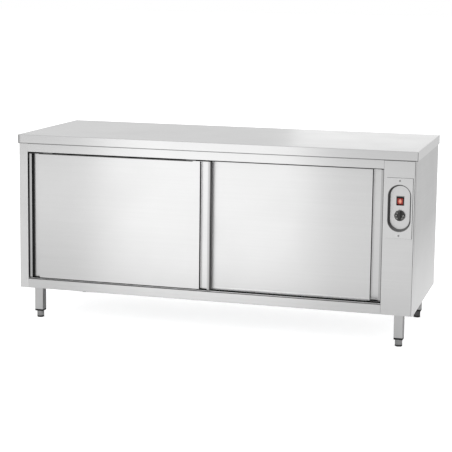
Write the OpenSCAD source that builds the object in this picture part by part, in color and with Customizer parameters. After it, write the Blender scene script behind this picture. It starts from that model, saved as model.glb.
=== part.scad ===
// Heated holding cupboard with two hanging sliding doors, in folded stainless steel.
// The origin lies on the floor under the middle of the worktop: +X right, +Y back, +Z up.

/* [Overall] */
// Width of the worktop
unit_w = 1800; // [1400:10:2000]
// Depth of the worktop
unit_d = 700; // [600:5:800]
// Height from the floor to the worktop's surface
unit_h = 850; // [800:5:950]
// Height from the floor to the underside of the body
leg_h = 150; // [130:1:180]

/* [Worktop] */
// Thickness of the worktop's sheet
top_t = 1.5; // [1:0.1:2.5]
// Height of the worktop's folded edge
fascia_h = 40; // [38:1:60]
// Width of the return under the folded edge
top_lip = 20; // [12:1:30]
// Radius of the worktop's folded edges
top_edge_r = 2.5; // [2:0.1:4]
// How far the worktop stands past each side
side_overhang = 5; // [2:0.5:12]
// How far the worktop stands past the front
front_overhang = 4; // [4:0.5:8]
// How far the worktop stands past the back
back_overhang = 6; // [4:0.5:12]
// Width of each stiffening channel under the worktop
stiffener_w = 70; // [50:1:100]
// Depth of each stiffening channel
stiffener_h = 30; // [20:1:34]
// Number of stiffening channels
stiffener_count = 4; // [2:1:6]

/* [Body] */
// Thickness of the body's sheets
sheet_t = 1; // [0.8:0.1:1.5]
// Inside radius of the folds
bend_r = 1; // [0.8:0.1:1.5]
// Width of the left front post, which is the left wall's thickness
stile_w = 40; // [35:1:60]
// Width of the control column on the right
column_w = 137; // [130:1:170]
// Height of the front rail over the doors
top_rail_h = 38; // [38:0.5:50]
// Height of the front rail under the doors
bottom_rail_h = 41; // [36:0.5:55]
// Thickness of the insulated back wall
back_wall = 38; // [30:1:50]
// How far the right side wraps round the front corner
corner_wrap = 6; // [6:0.5:10]
// Open seam between neighbouring sheets
seam = 0.5; // [0.3:0.1:0.9]
// Shadow line between the worktop and the post with the controls
shadow_gap = 2; // [1:0.5:4]
// Width of the folded flanges
flange_w = 20; // [16:1:24]
// Gap round each insulation board
board_gap = 0.5; // [0.3:0.1:0.9]

/* [Doors] */
// Thickness of a door
door_t = 26; // [25:0.5:32]
// Thickness of a door's sheets
door_skin = 1; // [0.8:0.1:1.2]
// Radius of a door's vertical front edges
door_edge_r = 2; // [1.5:0.1:3]
// How far the front door lies behind the front of the frame
door_setback = 6; // [6:0.5:10]
// Space between the front door and the rear door
door_spacing = 4; // [3:0.5:8]
// Space between the rear door and the chamber
door_rear_gap = 8; // [6:0.5:15]
// Gap between a closed door and the post beside it
door_side_gap = 4; // [2:0.5:8]
// Gap between the doors and the rail over them
door_top_gap = 6; // [4:0.5:8]
// Gap between the doors and the rail under them
door_bottom_gap = 5.5; // [4:0.5:8]
// How far the closed doors overlap
door_overlap = 100; // [60:1:140]
// Width of a finger grip
grip_w = 36; // [28:1:45]
// Depth of a finger grip
grip_d = 18; // [14:0.5:18]
// Radius of the folds along a finger grip's bottom
grip_r = 3; // [2:0.5:5]
// Flat lip between a finger grip and the door's edge
grip_lip = 13; // [10:0.5:20]

/* [Door gear] */
// Rolling radius of a door roller, at the bottom of its groove
roller_r = 10; // [9.5:0.1:10.5]
// Outer radius of a door roller
roller_rim_r = 12.5; // [12:0.1:13]
// Width of a door roller
roller_w = 7; // [6.5:0.1:7.2]
// Radius of the bead that the rollers run on
bead_r = 1.5; // [1.2:0.1:1.6]
// Radius of a roller's axle
axle_r = 3; // [2.5:0.1:3.5]
// Distance of a roller from the end of its door
roller_inset = 90; // [60:1:150]
// Running gap between a roller and its bead
roller_gap = 0.3; // [0.2:0.05:0.4]
// Radial clearance of turning pins and screwed stems
pin_gap = 0.05; // [0.02:0.01:0.08]
// Thickness of a hanger's plate
hanger_t = 2; // [1.5:0.1:2.5]
// How far the floor fins reach up into the doors
fin_reach = 4.5; // [3:0.1:4.5]
// Width of the slot along the bottom of a door
fin_slot_w = 6; // [5:0.1:7]

/* [Shelf] */
// Height of the shelf's surface over the chamber's floor
shelf_h = 280; // [200:5:380]
// Height of the shelf's folded edges
shelf_edge = 30; // [20:1:40]
// Gap between the shelf and the chamber's walls
shelf_gap = 2; // [1:0.5:5]
// Leg of the angles under the shelf's ends
shelf_angle_w = 25; // [20:1:40]
// Length of an air slot in the shelf
shelf_slot_l = 120; // [80:5:160]
// Width of an air slot in the shelf
shelf_slot_w = 14; // [8:1:20]

/* [Control panel] */
// Width of the control plate
plate_w = 110; // [104:1:120]
// Height of the control plate
plate_h = 256; // [240:1:300]
// Distance from the body's top edge down to the plate's middle
plate_down = 201; // [180:1:220]
// Distance from the body's right side to the plate's middle
plate_inset = 69; // [66:0.5:72]
// Thickness of the control plate
plate_t = 1.5; // [1.2:0.1:1.8]
// Width of the dish's mouth
dish_w = 96; // [90:1:98]
// Height of the dish's mouth
dish_h = 198; // [190:1:210]
// Depth of the dish
dish_d = 25; // [22:0.5:28]
// How far the dish's wall slopes inwards
dish_slope = 7; // [5:0.5:8]
// Height of the switch over the plate's middle
switch_up = 27; // [25:0.5:35]
// Width of the switch's bezel
switch_w = 30; // [28:0.5:34]
// Height of the switch's bezel
switch_h = 36; // [34:0.5:40]
// Depth of the switch's body behind the dish
switch_depth = 26; // [22:1:32]
// Full swing of the rocker, in degrees
rocker_swing = 20; // [16:1:22]
// Distance of the knob under the plate's middle
knob_down = 34; // [30:0.5:40]
// Radius of the knob's skirt
knob_r = 22.5; // [18:0.5:24]
// Height of the knob
knob_h = 20; // [18:0.5:21]
// Radius of the thermostat's spindle
spindle_r = 3; // [2.5:0.1:4]
// Side of the thermostat's square body
thermostat_w = 44; // [36:1:50]
// Depth of the thermostat's body
thermostat_d = 30; // [24:1:40]

/* [Hot air unit] */
// Distance of the fan's axis behind the middle of the body
fan_y = 20; // [0:5:60]
// Distance of the fan's axis under the chamber's ceiling
fan_down = 120; // [110:5:180]
// Radius of the fan's impeller
fan_r = 78; // [65:1:82]
// Width of the impeller's blades
fan_w = 32; // [24:1:36]
// Number of the impeller's blades
fan_blades = 16; // [10:1:20]
// Radius of the fan's shaft
shaft_r = 4; // [3:0.1:5]
// Radius of the fan's motor
motor_r = 36; // [30:1:40]
// Length of the fan's motor
motor_l = 58; // [45:1:62]
// Inside radius of the fan's housing
scroll_r = 96; // [94:1:105]
// Width of the air duct under the fan
duct_w = 100; // [80:1:110]
// Length of the air duct under the fan
duct_l = 60; // [40:1:70]
// Radius of the heating element's tube
element_r = 4; // [3:0.1:5]
// Distance between the runs of the heating element
element_pitch = 30; // [24:1:36]
// Length of a straight run of the heating element
element_run = 240; // [180:5:260]
// Number of runs of the heating element
element_runs = 4; // [2:2:4]

/* [Legs] */
// Side of a square leg
leg_w = 40; // [36:1:45]
// Distance from the side of the body to the middle of a leg
leg_inset_x = 66; // [66:1:90]
// Distance from the front of the body to the middle of a front leg
leg_inset_front = 76; // [72:1:110]
// Distance from the back of the body to the middle of a rear leg
leg_inset_back = 62; // [62:1:100]
// Height of the foot's black collar over the floor
collar_z = 31; // [28:1:45]
// Height of the black collar
collar_h = 8; // [4:0.5:10]
// Radius of a foot
foot_r = 16; // [13:0.5:18]
// Radius of a foot's threaded stem
stem_r = 5; // [4:0.5:6]
// How far a foot unscrews
foot_travel = 20; // [15:1:25]

/* [Back and base] */
// Width of the service cover on the back
cover_w = 100; // [90:1:104]
// Height of the service cover on the back
cover_h = 420; // [320:5:460]
// Radius of the cable gland's bore
gland_bore_r = 5; // [4:0.1:6]
// Radius of the cable gland's thread
gland_r = 10; // [8:0.5:12]

/* [Hidden] */
$fn = 48;

// Half a sheet, from a face to its middle
half_t = sheet_t / 2;
// A length that carries a cut clear of the face that it starts from
past = 5;

// Faces of the body
side_x = unit_w / 2 - side_overhang;
front_y = -unit_d / 2 + front_overhang;
back_y = unit_d / 2 - back_overhang;
body_z0 = leg_h;
body_z1 = unit_h - fascia_h;
flange_y = back_y - sheet_t;

// The door opening
open_x0 = -side_x + stile_w;
open_x1 = side_x - column_w;
open_z0 = body_z0 + bottom_rail_h;
open_z1 = body_z1 - top_rail_h;

// The doors
door_w = (open_x1 - open_x0 - 2 * door_side_gap + door_overlap) / 2;
door_z0 = open_z0 + door_bottom_gap;
door_z1 = open_z1 - door_top_gap;
left_door_x = open_x0 + door_side_gap;
right_door_x = open_x1 - door_side_gap - door_w;
left_door_y = front_y + door_setback;
right_door_y = left_door_y + door_t + door_spacing;
fin_z1 = door_z0 + fin_reach;
fin_top_gap = 1.5;
guide_t = 1;
guide_z1 = fin_z1 + fin_top_gap;
header_lip_gap = 1;

// The heated chamber
chamber_y0 = right_door_y + door_t + door_rear_gap;
chamber_y1 = back_y - back_wall;
base_z = body_z0 + sheet_t;
floor_z = open_z0 - sheet_t;
heater_x0 = open_x1 + sheet_t;
heater_x1 = side_x - sheet_t;

// Door gear: places across the track are measured from the middle of the door
bead_y = -2;
track_t = 1.5;
track_z1 = body_z1 - sheet_t;
track_flange_w = 12;
bead_rise = 5;
axle_head_t = 1;
axle_head_rim = 1.5;
axle_head_r = axle_r + axle_head_rim;
axle_head_gap = 1.2;
roller_side_gap = 0.3;
roller_top_gap = 2.7;
track_wall_y = bead_y + roller_w / 2 + roller_side_gap + axle_head_t + axle_head_gap + track_t / 2;
axle_z = track_z1 - roller_rim_r - roller_top_gap;
bead_z = axle_z - roller_r - roller_gap - bead_r;
ledge_z = bead_z - bead_rise;
hanger_w = 44;
hanger_foot_w = 16;
hanger_gap = 2.5;
hanger_y = bead_y - roller_w / 2 - hanger_gap - hanger_t / 2;

// The control panel
plate_x = side_x - plate_inset;
plate_z = body_z1 - plate_down;
plate_y = front_y - plate_t;
dish_floor_y = plate_y + dish_d;
dish_back_y = dish_floor_y + plate_t;
switch_z = plate_z + switch_up;
knob_z = plate_z - knob_down;
knob_gap = 0.5;
bezel_t = 2;
switch_wall = 1.5;
switch_play = 0.6;
rocker_side = 2.1;
rocker_end = 3.5;
rocker_end_gap = 2;
rocker_w = switch_w - 2 * switch_wall - 2 * rocker_side;
rocker_l = switch_h - 2 * switch_wall - 2 * rocker_end;
rocker_sink = 1.5;
rocker_y = dish_floor_y + rocker_sink;
rocker_pin_r = 1.5;
rocker_pin_l = 0.9;
pin_end_gap = 0.3;
knob_cap = 5;
plate_screw_inset = 12;

// Pan head screws
screw_r = 2;
screw_l = 9.5;
screw_head_r = 4;
screw_head_h = 2.2;
screw_dome_r = 6.6;
screw_socket_r = 1.2;
screw_socket_d = 1;

// The hot air unit
fan_z = open_z1 - fan_down;
fan_gap = 8;
fan_back_x = heater_x0 + fan_w + 2 * fan_gap;
hub_r = 14;
hub_gap = 2;
bearing_end = 8;
element_gap = 42;
element_rise = 45;
element_x = heater_x0 + element_gap;
element_y0 = fan_y - element_run / 2;
element_z0 = floor_z + element_rise;
element_plate_t = 2;
element_pin_l = 18;
element_pin_r = 2.8;
inlet_slots = 12;
outlet_slots = 5;
air_slot_w = 10;
inlet_edge = 8;
outlet_l = 144;
capillary_r = 1.2;
capillary_bend_r = 12;
capillary_lead = 30;
bulb_r = 4;
bulb_l = 90;
bulb_gap = 0.3;

// The legs
leg_wall = 1.5;
leg_corner_r = 3;
leg_z0 = collar_z + collar_h;
leg_plate_w = 80;
leg_plate_t = 3;
leg_plate_r = 6;
leg_x = side_x - leg_inset_x;
leg_front_y = front_y + leg_inset_front;
leg_rear_y = back_y - leg_inset_back;
insert_h = 28;
foot_gap = 0.3;
leg_places = [
    [-leg_x, leg_front_y], [leg_x, leg_front_y], [-leg_x, leg_rear_y], [leg_x, leg_rear_y]
];

// The back
cover_x = (heater_x0 + heater_x1) / 2;
cover_z = (body_z0 + body_z1) / 2;
cover_lap = 12;
cover_corner_r = 3;
gland_gap = 60;
gland_x = cover_x;
gland_y = leg_rear_y - leg_plate_w / 2 - gland_gap;
gland_nut_rim = 5;
gland_nut_r = gland_r + gland_nut_rim;
gland_nut_h = 10;
gland_dome_h = 14;
gland_dome_wall = 2.5;
gland_inside_h = 14;
locknut_h = 5;
terminal_gap = 56;

steel = "gainsboro";
dull_steel = "silver";
black = [0.06, 0.06, 0.06];

// A box between two opposite corners
module span(low, high) {
    translate(low) cube(high - low);
}

// Carries an outline in Y and Z along X
module along_x(x0, x1) {
    translate([x0, 0, 0]) rotate([90, 0, 90]) linear_extrude(x1 - x0) children();
}

// Carries an outline in X and Z along Y
module along_y(y0, y1) {
    translate([0, y1, 0]) rotate([90, 0, 0]) linear_extrude(y1 - y0) children();
}

// Carries an outline in X and Y along Z
module along_z(z0, z1) {
    translate([0, 0, z0]) linear_extrude(z1 - z0) children();
}

// A rectangle with round corners between two opposite corners
module round_rect(low, high, r) {
    size = high - low;
    translate(low + [r, 0]) square([size.x - 2 * r, size.y]);
    translate(low + [0, r]) square([size.x, size.y - 2 * r]);
    for (x = [low.x + r, high.x - r], y = [low.y + r, high.y - r])
        translate([x, y]) circle(r);
}

// A rectangle with round corners about its middle
module round_block(width, height, r) {
    round_rect(-[width, height] / 2, [width, height] / 2, r);
}

// A slot with round ends along the first axis, about its middle
module slot(length, width) {
    square([length - width, width], center = true);
    for (side = [-1, 1])
        translate([side * (length - width) / 2, 0]) circle(width / 2);
}

// A folded sheet seen on edge: the path is the middle of the sheet, and each turn is a right angle
module folded(path, t, inner_r) {
    last = len(path) - 1;
    mid_r = inner_r + t / 2;
    for (i = [0:last - 1]) {
        run = path[i + 1] - path[i];
        start = i > 0 ? mid_r : 0;
        stop = i < last - 1 ? mid_r : 0;
        translate(path[i]) rotate(atan2(run.y, run.x))
            translate([start, -t / 2]) square([norm(run) - start - stop, t]);
    }
    for (i = [1:last - 1]) {
        back = (path[i - 1] - path[i]) / norm(path[i - 1] - path[i]);
        ahead = (path[i + 1] - path[i]) / norm(path[i + 1] - path[i]);
        inward = back + ahead;
        reach = mid_r + t;
        translate(path[i] + mid_r * inward)
            intersection() {
                difference() {
                    circle(mid_r + t / 2);
                    circle(mid_r - t / 2);
                }
                translate([inward.x > 0 ? -reach : 0, inward.y > 0 ? -reach : 0]) square(reach);
            }
    }
}

// Worktop
module worktop() {
    half = [unit_w / 2, unit_d / 2];
    low_z = body_z1 - past;
    color(steel) difference() {
        intersection() {
            along_x(-half.x, half.x) round_rect([-half.y, low_z], [half.y, unit_h], top_edge_r);
            along_y(-half.y, half.y) round_rect([-half.x, low_z], [half.x, unit_h], top_edge_r);
            along_z(body_z1, unit_h) round_rect(-half, half, top_edge_r);
        }
        span([-half.x + top_t, -half.y + top_t, body_z1 + top_t],
             [half.x - top_t, half.y - top_t, unit_h - top_t]);
        span([-half.x + top_lip, -half.y + top_lip, body_z1 - past],
             [half.x - top_lip, half.y - top_lip, body_z1 + 2 * top_t]);
    }
}

module worktop_stiffeners() {
    top = unit_h - top_t;
    length = unit_d - 2 * top_lip - 2 * past;
    color(dull_steel) for (i = [1:stiffener_count]) {
        x = -unit_w / 2 + i * unit_w / (stiffener_count + 1);
        along_y(-length / 2, length / 2) folded([
            [x - stiffener_w / 2 - flange_w, top - half_t], [x - stiffener_w / 2, top - half_t],
            [x - stiffener_w / 2, top - stiffener_h], [x + stiffener_w / 2, top - stiffener_h],
            [x + stiffener_w / 2, top - half_t], [x + stiffener_w / 2 + flange_w, top - half_t]
        ], sheet_t, bend_r);
    }
}

// Outer panels
module side_foot_flange(x0, x1) {
    span([x0, front_y + flange_w, body_z0], [x1, flange_y - sheet_t, body_z0 + sheet_t]);
}

// What is cut from the foot of a door jamb, so that it ends level with the underside of the base panel
module jamb_foot(x) {
    reach = sheet_t + seam;
    span([x - reach, front_y + flange_w, body_z0 - past], [x + reach, chamber_y0 + past, base_z]);
}

module left_side_panel() {
    color(steel) difference() {
        union() {
            along_z(body_z0, body_z1) folded([
                [open_x0 - half_t, chamber_y0], [open_x0 - half_t, front_y + half_t],
                [-side_x + half_t, front_y + half_t], [-side_x + half_t, flange_y - half_t],
                [-side_x + flange_w, flange_y - half_t]
            ], sheet_t, bend_r);
            side_foot_flange(-side_x + sheet_t, -side_x + flange_w);
        }
        jamb_foot(open_x0 - half_t);
    }
}

module right_side_panel() {
    wrap_x = side_x - corner_wrap + half_t;
    color(steel) {
        along_z(body_z0, body_z1) folded([
            [wrap_x, front_y + flange_w], [wrap_x, front_y + half_t],
            [side_x - half_t, front_y + half_t], [side_x - half_t, flange_y - half_t],
            [side_x - flange_w, flange_y - half_t]
        ], sheet_t, bend_r);
        side_foot_flange(side_x - flange_w, side_x - sheet_t);
    }
}

module back_panel() {
    color(steel) along_y(flange_y, back_y) difference() {
        translate([-side_x, body_z0]) square([2 * side_x, body_z1 - body_z0]);
        translate([cover_x, cover_z])
            square([cover_w - 2 * cover_lap, cover_h - 2 * cover_lap], center = true);
        cover_screw_places() circle(screw_r + pin_gap);
    }
}

module base_panel() {
    low = [-side_x + sheet_t + seam, front_y + sheet_t + bend_r + seam, base_z];
    high = [side_x - sheet_t - seam, flange_y - sheet_t - seam, base_z + flange_w];
    wall = [sheet_t, sheet_t, sheet_t];
    color(dull_steel) difference() {
        span(low, high);
        span(low + wall, high + [-sheet_t, -sheet_t, past]);
        translate([gland_x, gland_y, base_z - past]) cylinder(h = 2 * past, r = gland_r + pin_gap);
        for (x = [open_x0 - sheet_t, open_x1])
            span([x - seam, low.y - past, base_z - past],
                 [x + sheet_t + seam, chamber_y0 + seam, high.z + past]);
        span([side_x - corner_wrap - sheet_t - 2 * seam, low.y - past, base_z - past],
             [side_x, front_y + flange_w + seam, high.z + past]);
    }
}

module door_header() {
    color(steel) along_x(open_x0, open_x1) folded([
        [left_door_y - header_lip_gap, open_z1 + half_t], [front_y + half_t, open_z1 + half_t],
        [front_y + half_t, body_z1 - half_t], [chamber_y0 - half_t, body_z1 - half_t],
        [chamber_y0 - half_t, open_z1]
    ], sheet_t, bend_r);
}

module door_sill() {
    color(steel) along_x(open_x0, open_x1) folded([
        [front_y + flange_w, body_z0 + half_t], [front_y + half_t, body_z0 + half_t],
        [front_y + half_t, open_z0 - half_t], [chamber_y0, open_z0 - half_t]
    ], sheet_t, bend_r);
}

module control_column() {
    right_x = side_x - corner_wrap - seam - half_t;
    color(steel) difference() {
        along_z(body_z0, body_z1 - shadow_gap) folded([
            [open_x1 + half_t, chamber_y0], [open_x1 + half_t, front_y + half_t],
            [right_x, front_y + half_t], [right_x, front_y + flange_w]
        ], sheet_t, bend_r);
        along_y(front_y - past, front_y + past) {
            stadium(dish_w + 2 * plate_t + 2 * seam, dish_h + 2 * plate_t + 2 * seam);
            plate_screw_places() circle(screw_r + pin_gap);
        }
        jamb_foot(open_x1 + half_t);
    }
}

// Chamber
module chamber_left_liner() {
    color(dull_steel) along_z(open_z0, open_z1) folded([
        [open_x0 - flange_w, chamber_y0 + half_t], [open_x0 - half_t, chamber_y0 + half_t],
        [open_x0 - half_t, chamber_y1]
    ], sheet_t, bend_r);
}

module chamber_back_liner() {
    color(dull_steel) span([open_x0 - sheet_t, chamber_y1, floor_z],
                           [heater_x0, chamber_y1 + sheet_t, open_z1 + sheet_t]);
}

module chamber_ceiling() {
    color(dull_steel) along_x(open_x0, open_x1) folded([
        [chamber_y0 + half_t, open_z1 + flange_w], [chamber_y0 + half_t, open_z1 + half_t],
        [chamber_y1, open_z1 + half_t]
    ], sheet_t, bend_r);
}

module chamber_floor() {
    color(dull_steel) along_x(open_x0, open_x1) folded([
        [chamber_y0 + half_t, open_z0 - flange_w], [chamber_y0 + half_t, open_z0 - half_t],
        [chamber_y1, open_z0 - half_t]
    ], sheet_t, bend_r);
}

// The wall between the chamber and the hot air unit, with the fan's inlet and the outlet slots
module heater_partition() {
    inlet_l = fan_r - hub_r - 2 * inlet_edge;
    color(dull_steel) difference() {
        along_z(open_z0, open_z1) folded([
            [open_x1 + flange_w, chamber_y0 + half_t], [open_x1 + half_t, chamber_y0 + half_t],
            [open_x1 + half_t, chamber_y1]
        ], sheet_t, bend_r);
        along_x(open_x1 - past, heater_x0 + past) {
            for (i = [1:inlet_slots])
                translate([fan_y, fan_z]) rotate(i * 360 / inlet_slots)
                    translate([hub_r + inlet_edge + inlet_l / 2, 0]) slot(inlet_l, air_slot_w);
            for (i = [0:outlet_slots - 1])
                translate([fan_y, element_z0 + i * 2 * air_slot_w]) slot(outlet_l, air_slot_w);
        }
    }
}

// Boards of mineral wool behind the left liner and the back liner, over the ceiling, under the floor
module insulation_boards() {
    g = board_gap;
    inner_y = chamber_y0 + sheet_t + g;
    outer_y = flange_y - sheet_t - g;
    low_z = base_z + flange_w + g;
    liner_z0 = floor_z - g;
    liner_z1 = open_z1 + sheet_t + g;
    top_z = body_z1 - g;
    color("khaki") {
        span([-side_x + sheet_t + g, inner_y, low_z], [open_x0 - sheet_t - g, outer_y, top_z]);
        span([open_x0 - sheet_t + g, chamber_y1 + sheet_t + g, low_z], [open_x1, flange_y - g, top_z]);
        span([open_x0 - sheet_t + g, inner_y, liner_z1], [open_x1, chamber_y1 + sheet_t, top_z]);
        span([open_x0 - sheet_t + g, inner_y, base_z + sheet_t + g],
             [open_x1, chamber_y1 + sheet_t, liner_z0]);
    }
}

// Track: a flange under the header, a wall, and a ledge with a raised round bead that the rollers run on
module track(door_y) {
    mid_y = door_y + door_t / 2;
    color(dull_steel) along_x(open_x0, open_x1) translate([mid_y, 0]) {
        folded([
            [track_wall_y + track_flange_w, track_z1 - track_t / 2], [track_wall_y, track_z1 - track_t / 2],
            [track_wall_y, ledge_z + track_t / 2], [bead_y - bead_r, ledge_z + track_t / 2]
        ], track_t, bend_r);
        translate([bead_y - bead_r, ledge_z + track_t])
            square([2 * bead_r, bead_z - ledge_z - track_t]);
        translate([bead_y, bead_z]) circle(bead_r);
    }
}

module front_door_track() { track(left_door_y); }
module rear_door_track() { track(right_door_y); }

// Strip on the sill with a fin under each door
module floor_guide() {
    fin_t = 1.5;
    color(dull_steel) along_x(open_x0 + seam, open_x1 - seam) {
        translate([left_door_y, open_z0]) square([right_door_y - left_door_y + door_t, guide_t]);
        for (door_y = [left_door_y, right_door_y])
            translate([door_y + door_t / 2 - fin_t / 2, open_z0 + guide_t])
                square([fin_t, fin_z1 - open_z0 - guide_t]);
    }
}

// Shelf, folded down along the front and the back, with air slots
module shelf() {
    x0 = open_x0 + shelf_gap;
    x1 = open_x1 - shelf_gap;
    y0 = chamber_y0 + shelf_gap;
    y1 = chamber_y1 - shelf_gap;
    top = open_z0 + shelf_h;
    columns = 6;
    rows = 4;
    color(dull_steel) difference() {
        along_x(x0, x1) folded([
            [y0 + half_t, top - shelf_edge], [y0 + half_t, top - half_t],
            [y1 - half_t, top - half_t], [y1 - half_t, top - shelf_edge]
        ], sheet_t, bend_r);
        along_z(top - sheet_t - past, top + past)
            for (i = [1:columns], j = [1:rows])
                translate([x0 + i * (x1 - x0) / (columns + 1), y0 + j * (y1 - y0) / (rows + 1)])
                    slot(shelf_slot_l, shelf_slot_w);
    }
}

module shelf_angles() {
    top = open_z0 + shelf_h - sheet_t;
    y0 = chamber_y0 + shelf_gap + sheet_t + bend_r + seam;
    y1 = chamber_y1 - shelf_gap - sheet_t - bend_r - seam;
    color(dull_steel) for (side = [-1, 1]) {
        wall_x = side < 0 ? open_x0 : open_x1;
        along_y(y0, y1) folded([
            [wall_x - side * half_t, top - shelf_angle_w], [wall_x - side * half_t, top - half_t],
            [wall_x - side * shelf_angle_w, top - half_t]
        ], sheet_t, bend_r);
    }
}

// Control panel
// The outline of a dish of a given size, round at the top and the bottom, about the plate's middle
module stadium(width, height) {
    translate([plate_x, plate_z]) rotate(90) slot(height, width);
}

// The dish as a solid that narrows from its mouth to its floor: two cones and a wedge between them
module dish_form(mouth_r, floor_r, mouth_y, floor_y) {
    reach = (dish_h - dish_w) / 2;
    for (side = [-1, 1])
        translate([plate_x, mouth_y, plate_z + side * reach]) rotate([-90, 0, 0])
            cylinder(h = floor_y - mouth_y, r1 = mouth_r, r2 = floor_r);
    along_z(plate_z - reach, plate_z + reach) polygon([
        [plate_x - mouth_r, mouth_y], [plate_x + mouth_r, mouth_y],
        [plate_x + floor_r, floor_y], [plate_x - floor_r, floor_y]
    ]);
}

module plate_screw_places() {
    for (side = [-1, 1])
        translate([plate_x, plate_z + side * (plate_h / 2 - plate_screw_inset)]) children();
}

module control_plate() {
    mouth_r = dish_w / 2;
    floor_r = mouth_r - dish_slope;
    low = [plate_x - plate_w / 2, plate_z - plate_h / 2];
    color(steel) difference() {
        union() {
            along_y(plate_y, front_y) round_rect(low, low + [plate_w, plate_h], plate_t);
            dish_form(mouth_r + plate_t, floor_r + plate_t, plate_y, dish_back_y);
        }
        dish_form(mouth_r, floor_r, plate_y, dish_floor_y);
        along_y(plate_y - past, dish_back_y + past) {
            translate([plate_x, switch_z])
                square([switch_w - 2 * switch_wall, switch_h - 2 * switch_wall], center = true);
            translate([plate_x, knob_z]) circle(spindle_r + 2 * knob_gap);
            plate_screw_places() circle(screw_r + pin_gap);
        }
    }
}

module cover_screw_places() {
    for (side = [-1, 1], row = [-1:1])
        translate([cover_x + side * (cover_w - cover_lap) / 2, cover_z + row * (cover_h - cover_lap) / 2])
            children();
}

// A pan head screw pointing along +Y from the face that its head sits on
module pan_screw() {
    rotate([-90, 0, 0]) {
        cylinder(h = screw_l, r = screw_r);
        rotate_extrude() difference() {
            intersection() {
                translate([0, screw_dome_r - screw_head_h]) circle(screw_dome_r);
                translate([0, -screw_head_h]) square([screw_head_r, screw_head_h]);
            }
            translate([0, -screw_head_h]) square([screw_socket_r, screw_socket_d]);
        }
    }
}

module panel_screws() {
    color(dull_steel) {
        for (side = [-1, 1])
            translate([plate_x, plate_y, plate_z + side * (plate_h / 2 - plate_screw_inset)])
                pan_screw();
        for (side = [-1, 1], row = [-1:1])
            translate([cover_x + side * (cover_w - cover_lap) / 2, back_y + sheet_t,
                       cover_z + row * (cover_h - cover_lap) / 2])
                rotate(180) pan_screw();
    }
}

// Switch
module switch_housing() {
    body_w = switch_w - 2 * switch_wall - 2 * pin_gap;
    body_h = switch_h - 2 * switch_wall - 2 * pin_gap;
    well_w = rocker_w + 2 * switch_play;
    well_h = rocker_l + 2 * rocker_end_gap;
    well_d = 16;
    corner_r = 1.5;
    color(black) difference() {
        union() {
            along_y(dish_floor_y - bezel_t, dish_floor_y)
                translate([plate_x, switch_z]) round_block(switch_w, switch_h, corner_r);
            along_y(dish_floor_y, dish_back_y + switch_depth)
                translate([plate_x, switch_z]) square([body_w, body_h], center = true);
        }
        along_y(dish_floor_y - bezel_t - past, dish_floor_y + well_d)
            translate([plate_x, switch_z]) square([well_w, well_h], center = true);
        translate([plate_x, rocker_y, switch_z]) rotate([0, 90, 0])
            cylinder(h = well_w + 2 * (rocker_pin_l + pin_end_gap), r = rocker_pin_r + pin_gap,
                     center = true);
    }
}

// Rocker, pressed in at the bottom: two slopes that meet over the pivot, and a pin at each side
module switch_rocker() {
    front = 5.5;
    dip = 2.4;
    back = 6;
    waist = 1.5;
    taper = 1;
    stem = 5;
    color([0.85, 0.15, 0.08]) translate([plate_x, rocker_y, switch_z]) rotate([rocker_swing / 2, 0, 0]) {
        along_x(-rocker_w / 2, rocker_w / 2) polygon([
            [-front + dip, -rocker_l / 2], [-front, 0], [-front + dip, rocker_l / 2],
            [waist, rocker_l / 2 - taper], [back, stem], [back, -stem], [waist, -rocker_l / 2 + taper]
        ]);
        rotate([0, 90, 0])
            cylinder(h = rocker_w + 2 * (switch_play + rocker_pin_l), r = rocker_pin_r, center = true);
    }
}

// Thermostat
module thermostat_body() {
    corner_r = 4;
    color(dull_steel) difference() {
        along_y(dish_back_y, dish_back_y + thermostat_d)
            translate([plate_x, knob_z])
                round_block(thermostat_w, thermostat_w, corner_r);
        translate([plate_x, dish_back_y - past, knob_z]) rotate([-90, 0, 0])
            cylinder(h = past + thermostat_d / 2, r = spindle_r + pin_gap);
    }
}

module thermostat_spindle() {
    front = dish_floor_y - knob_gap - knob_h + knob_cap;
    color(dull_steel) translate([plate_x, front, knob_z]) rotate([-90, 0, 0])
        cylinder(h = dish_back_y + thermostat_d / 2 - seam - front, r = spindle_r);
}

// Knob: a round skirt with a grip bar across it
module thermostat_knob() {
    skirt_h = 8;
    edge = 2;
    bar_w = 11;
    bar_inset = 4;
    bar_dome_r = 40;
    color(black) translate([plate_x, dish_floor_y - knob_gap, knob_z]) rotate([90, 0, 0]) difference() {
        union() {
            rotate_extrude() {
                square([knob_r, skirt_h - edge]);
                translate([0, skirt_h - edge]) square([knob_r - edge, edge]);
                translate([knob_r - edge, skirt_h - edge]) circle(edge);
            }
            intersection() {
                translate([0, 0, skirt_h]) linear_extrude(knob_h - skirt_h)
                    rotate(90) slot(2 * (knob_r - bar_inset), bar_w);
                rotate_extrude() intersection() {
                    translate([0, knob_h - bar_dome_r]) circle(bar_dome_r);
                    square([knob_r, knob_h]);
                }
            }
        }
        translate([0, 0, -past]) cylinder(h = past + knob_h - knob_cap, r = spindle_r);
    }
}

// Capillary tube and its bulb, which lies against the partition in the fan's air
module thermostat_capillary() {
    start_y = dish_back_y + thermostat_d;
    bulb_x = heater_x0 + bulb_gap + bulb_r;
    turn_y = start_y + capillary_lead;
    b = capillary_bend_r;
    color("peru") translate([0, 0, knob_z]) {
        translate([plate_x, start_y, 0]) rotate([-90, 0, 0]) cylinder(h = turn_y - start_y, r = capillary_r);
        translate([plate_x - b, turn_y, 0]) rotate_extrude(angle = 90) translate([b, 0]) circle(capillary_r);
        translate([bulb_x + b, turn_y + b, 0]) rotate([0, 90, 0])
            cylinder(h = plate_x - bulb_x - 2 * b, r = capillary_r);
        translate([bulb_x + b, turn_y + 2 * b, 0]) rotate(180)
            rotate_extrude(angle = 90) translate([b, 0]) circle(capillary_r);
        translate([bulb_x, turn_y + 2 * b, 0]) rotate([-90, 0, 0]) cylinder(h = bulb_l, r = bulb_r);
    }
}

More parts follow.
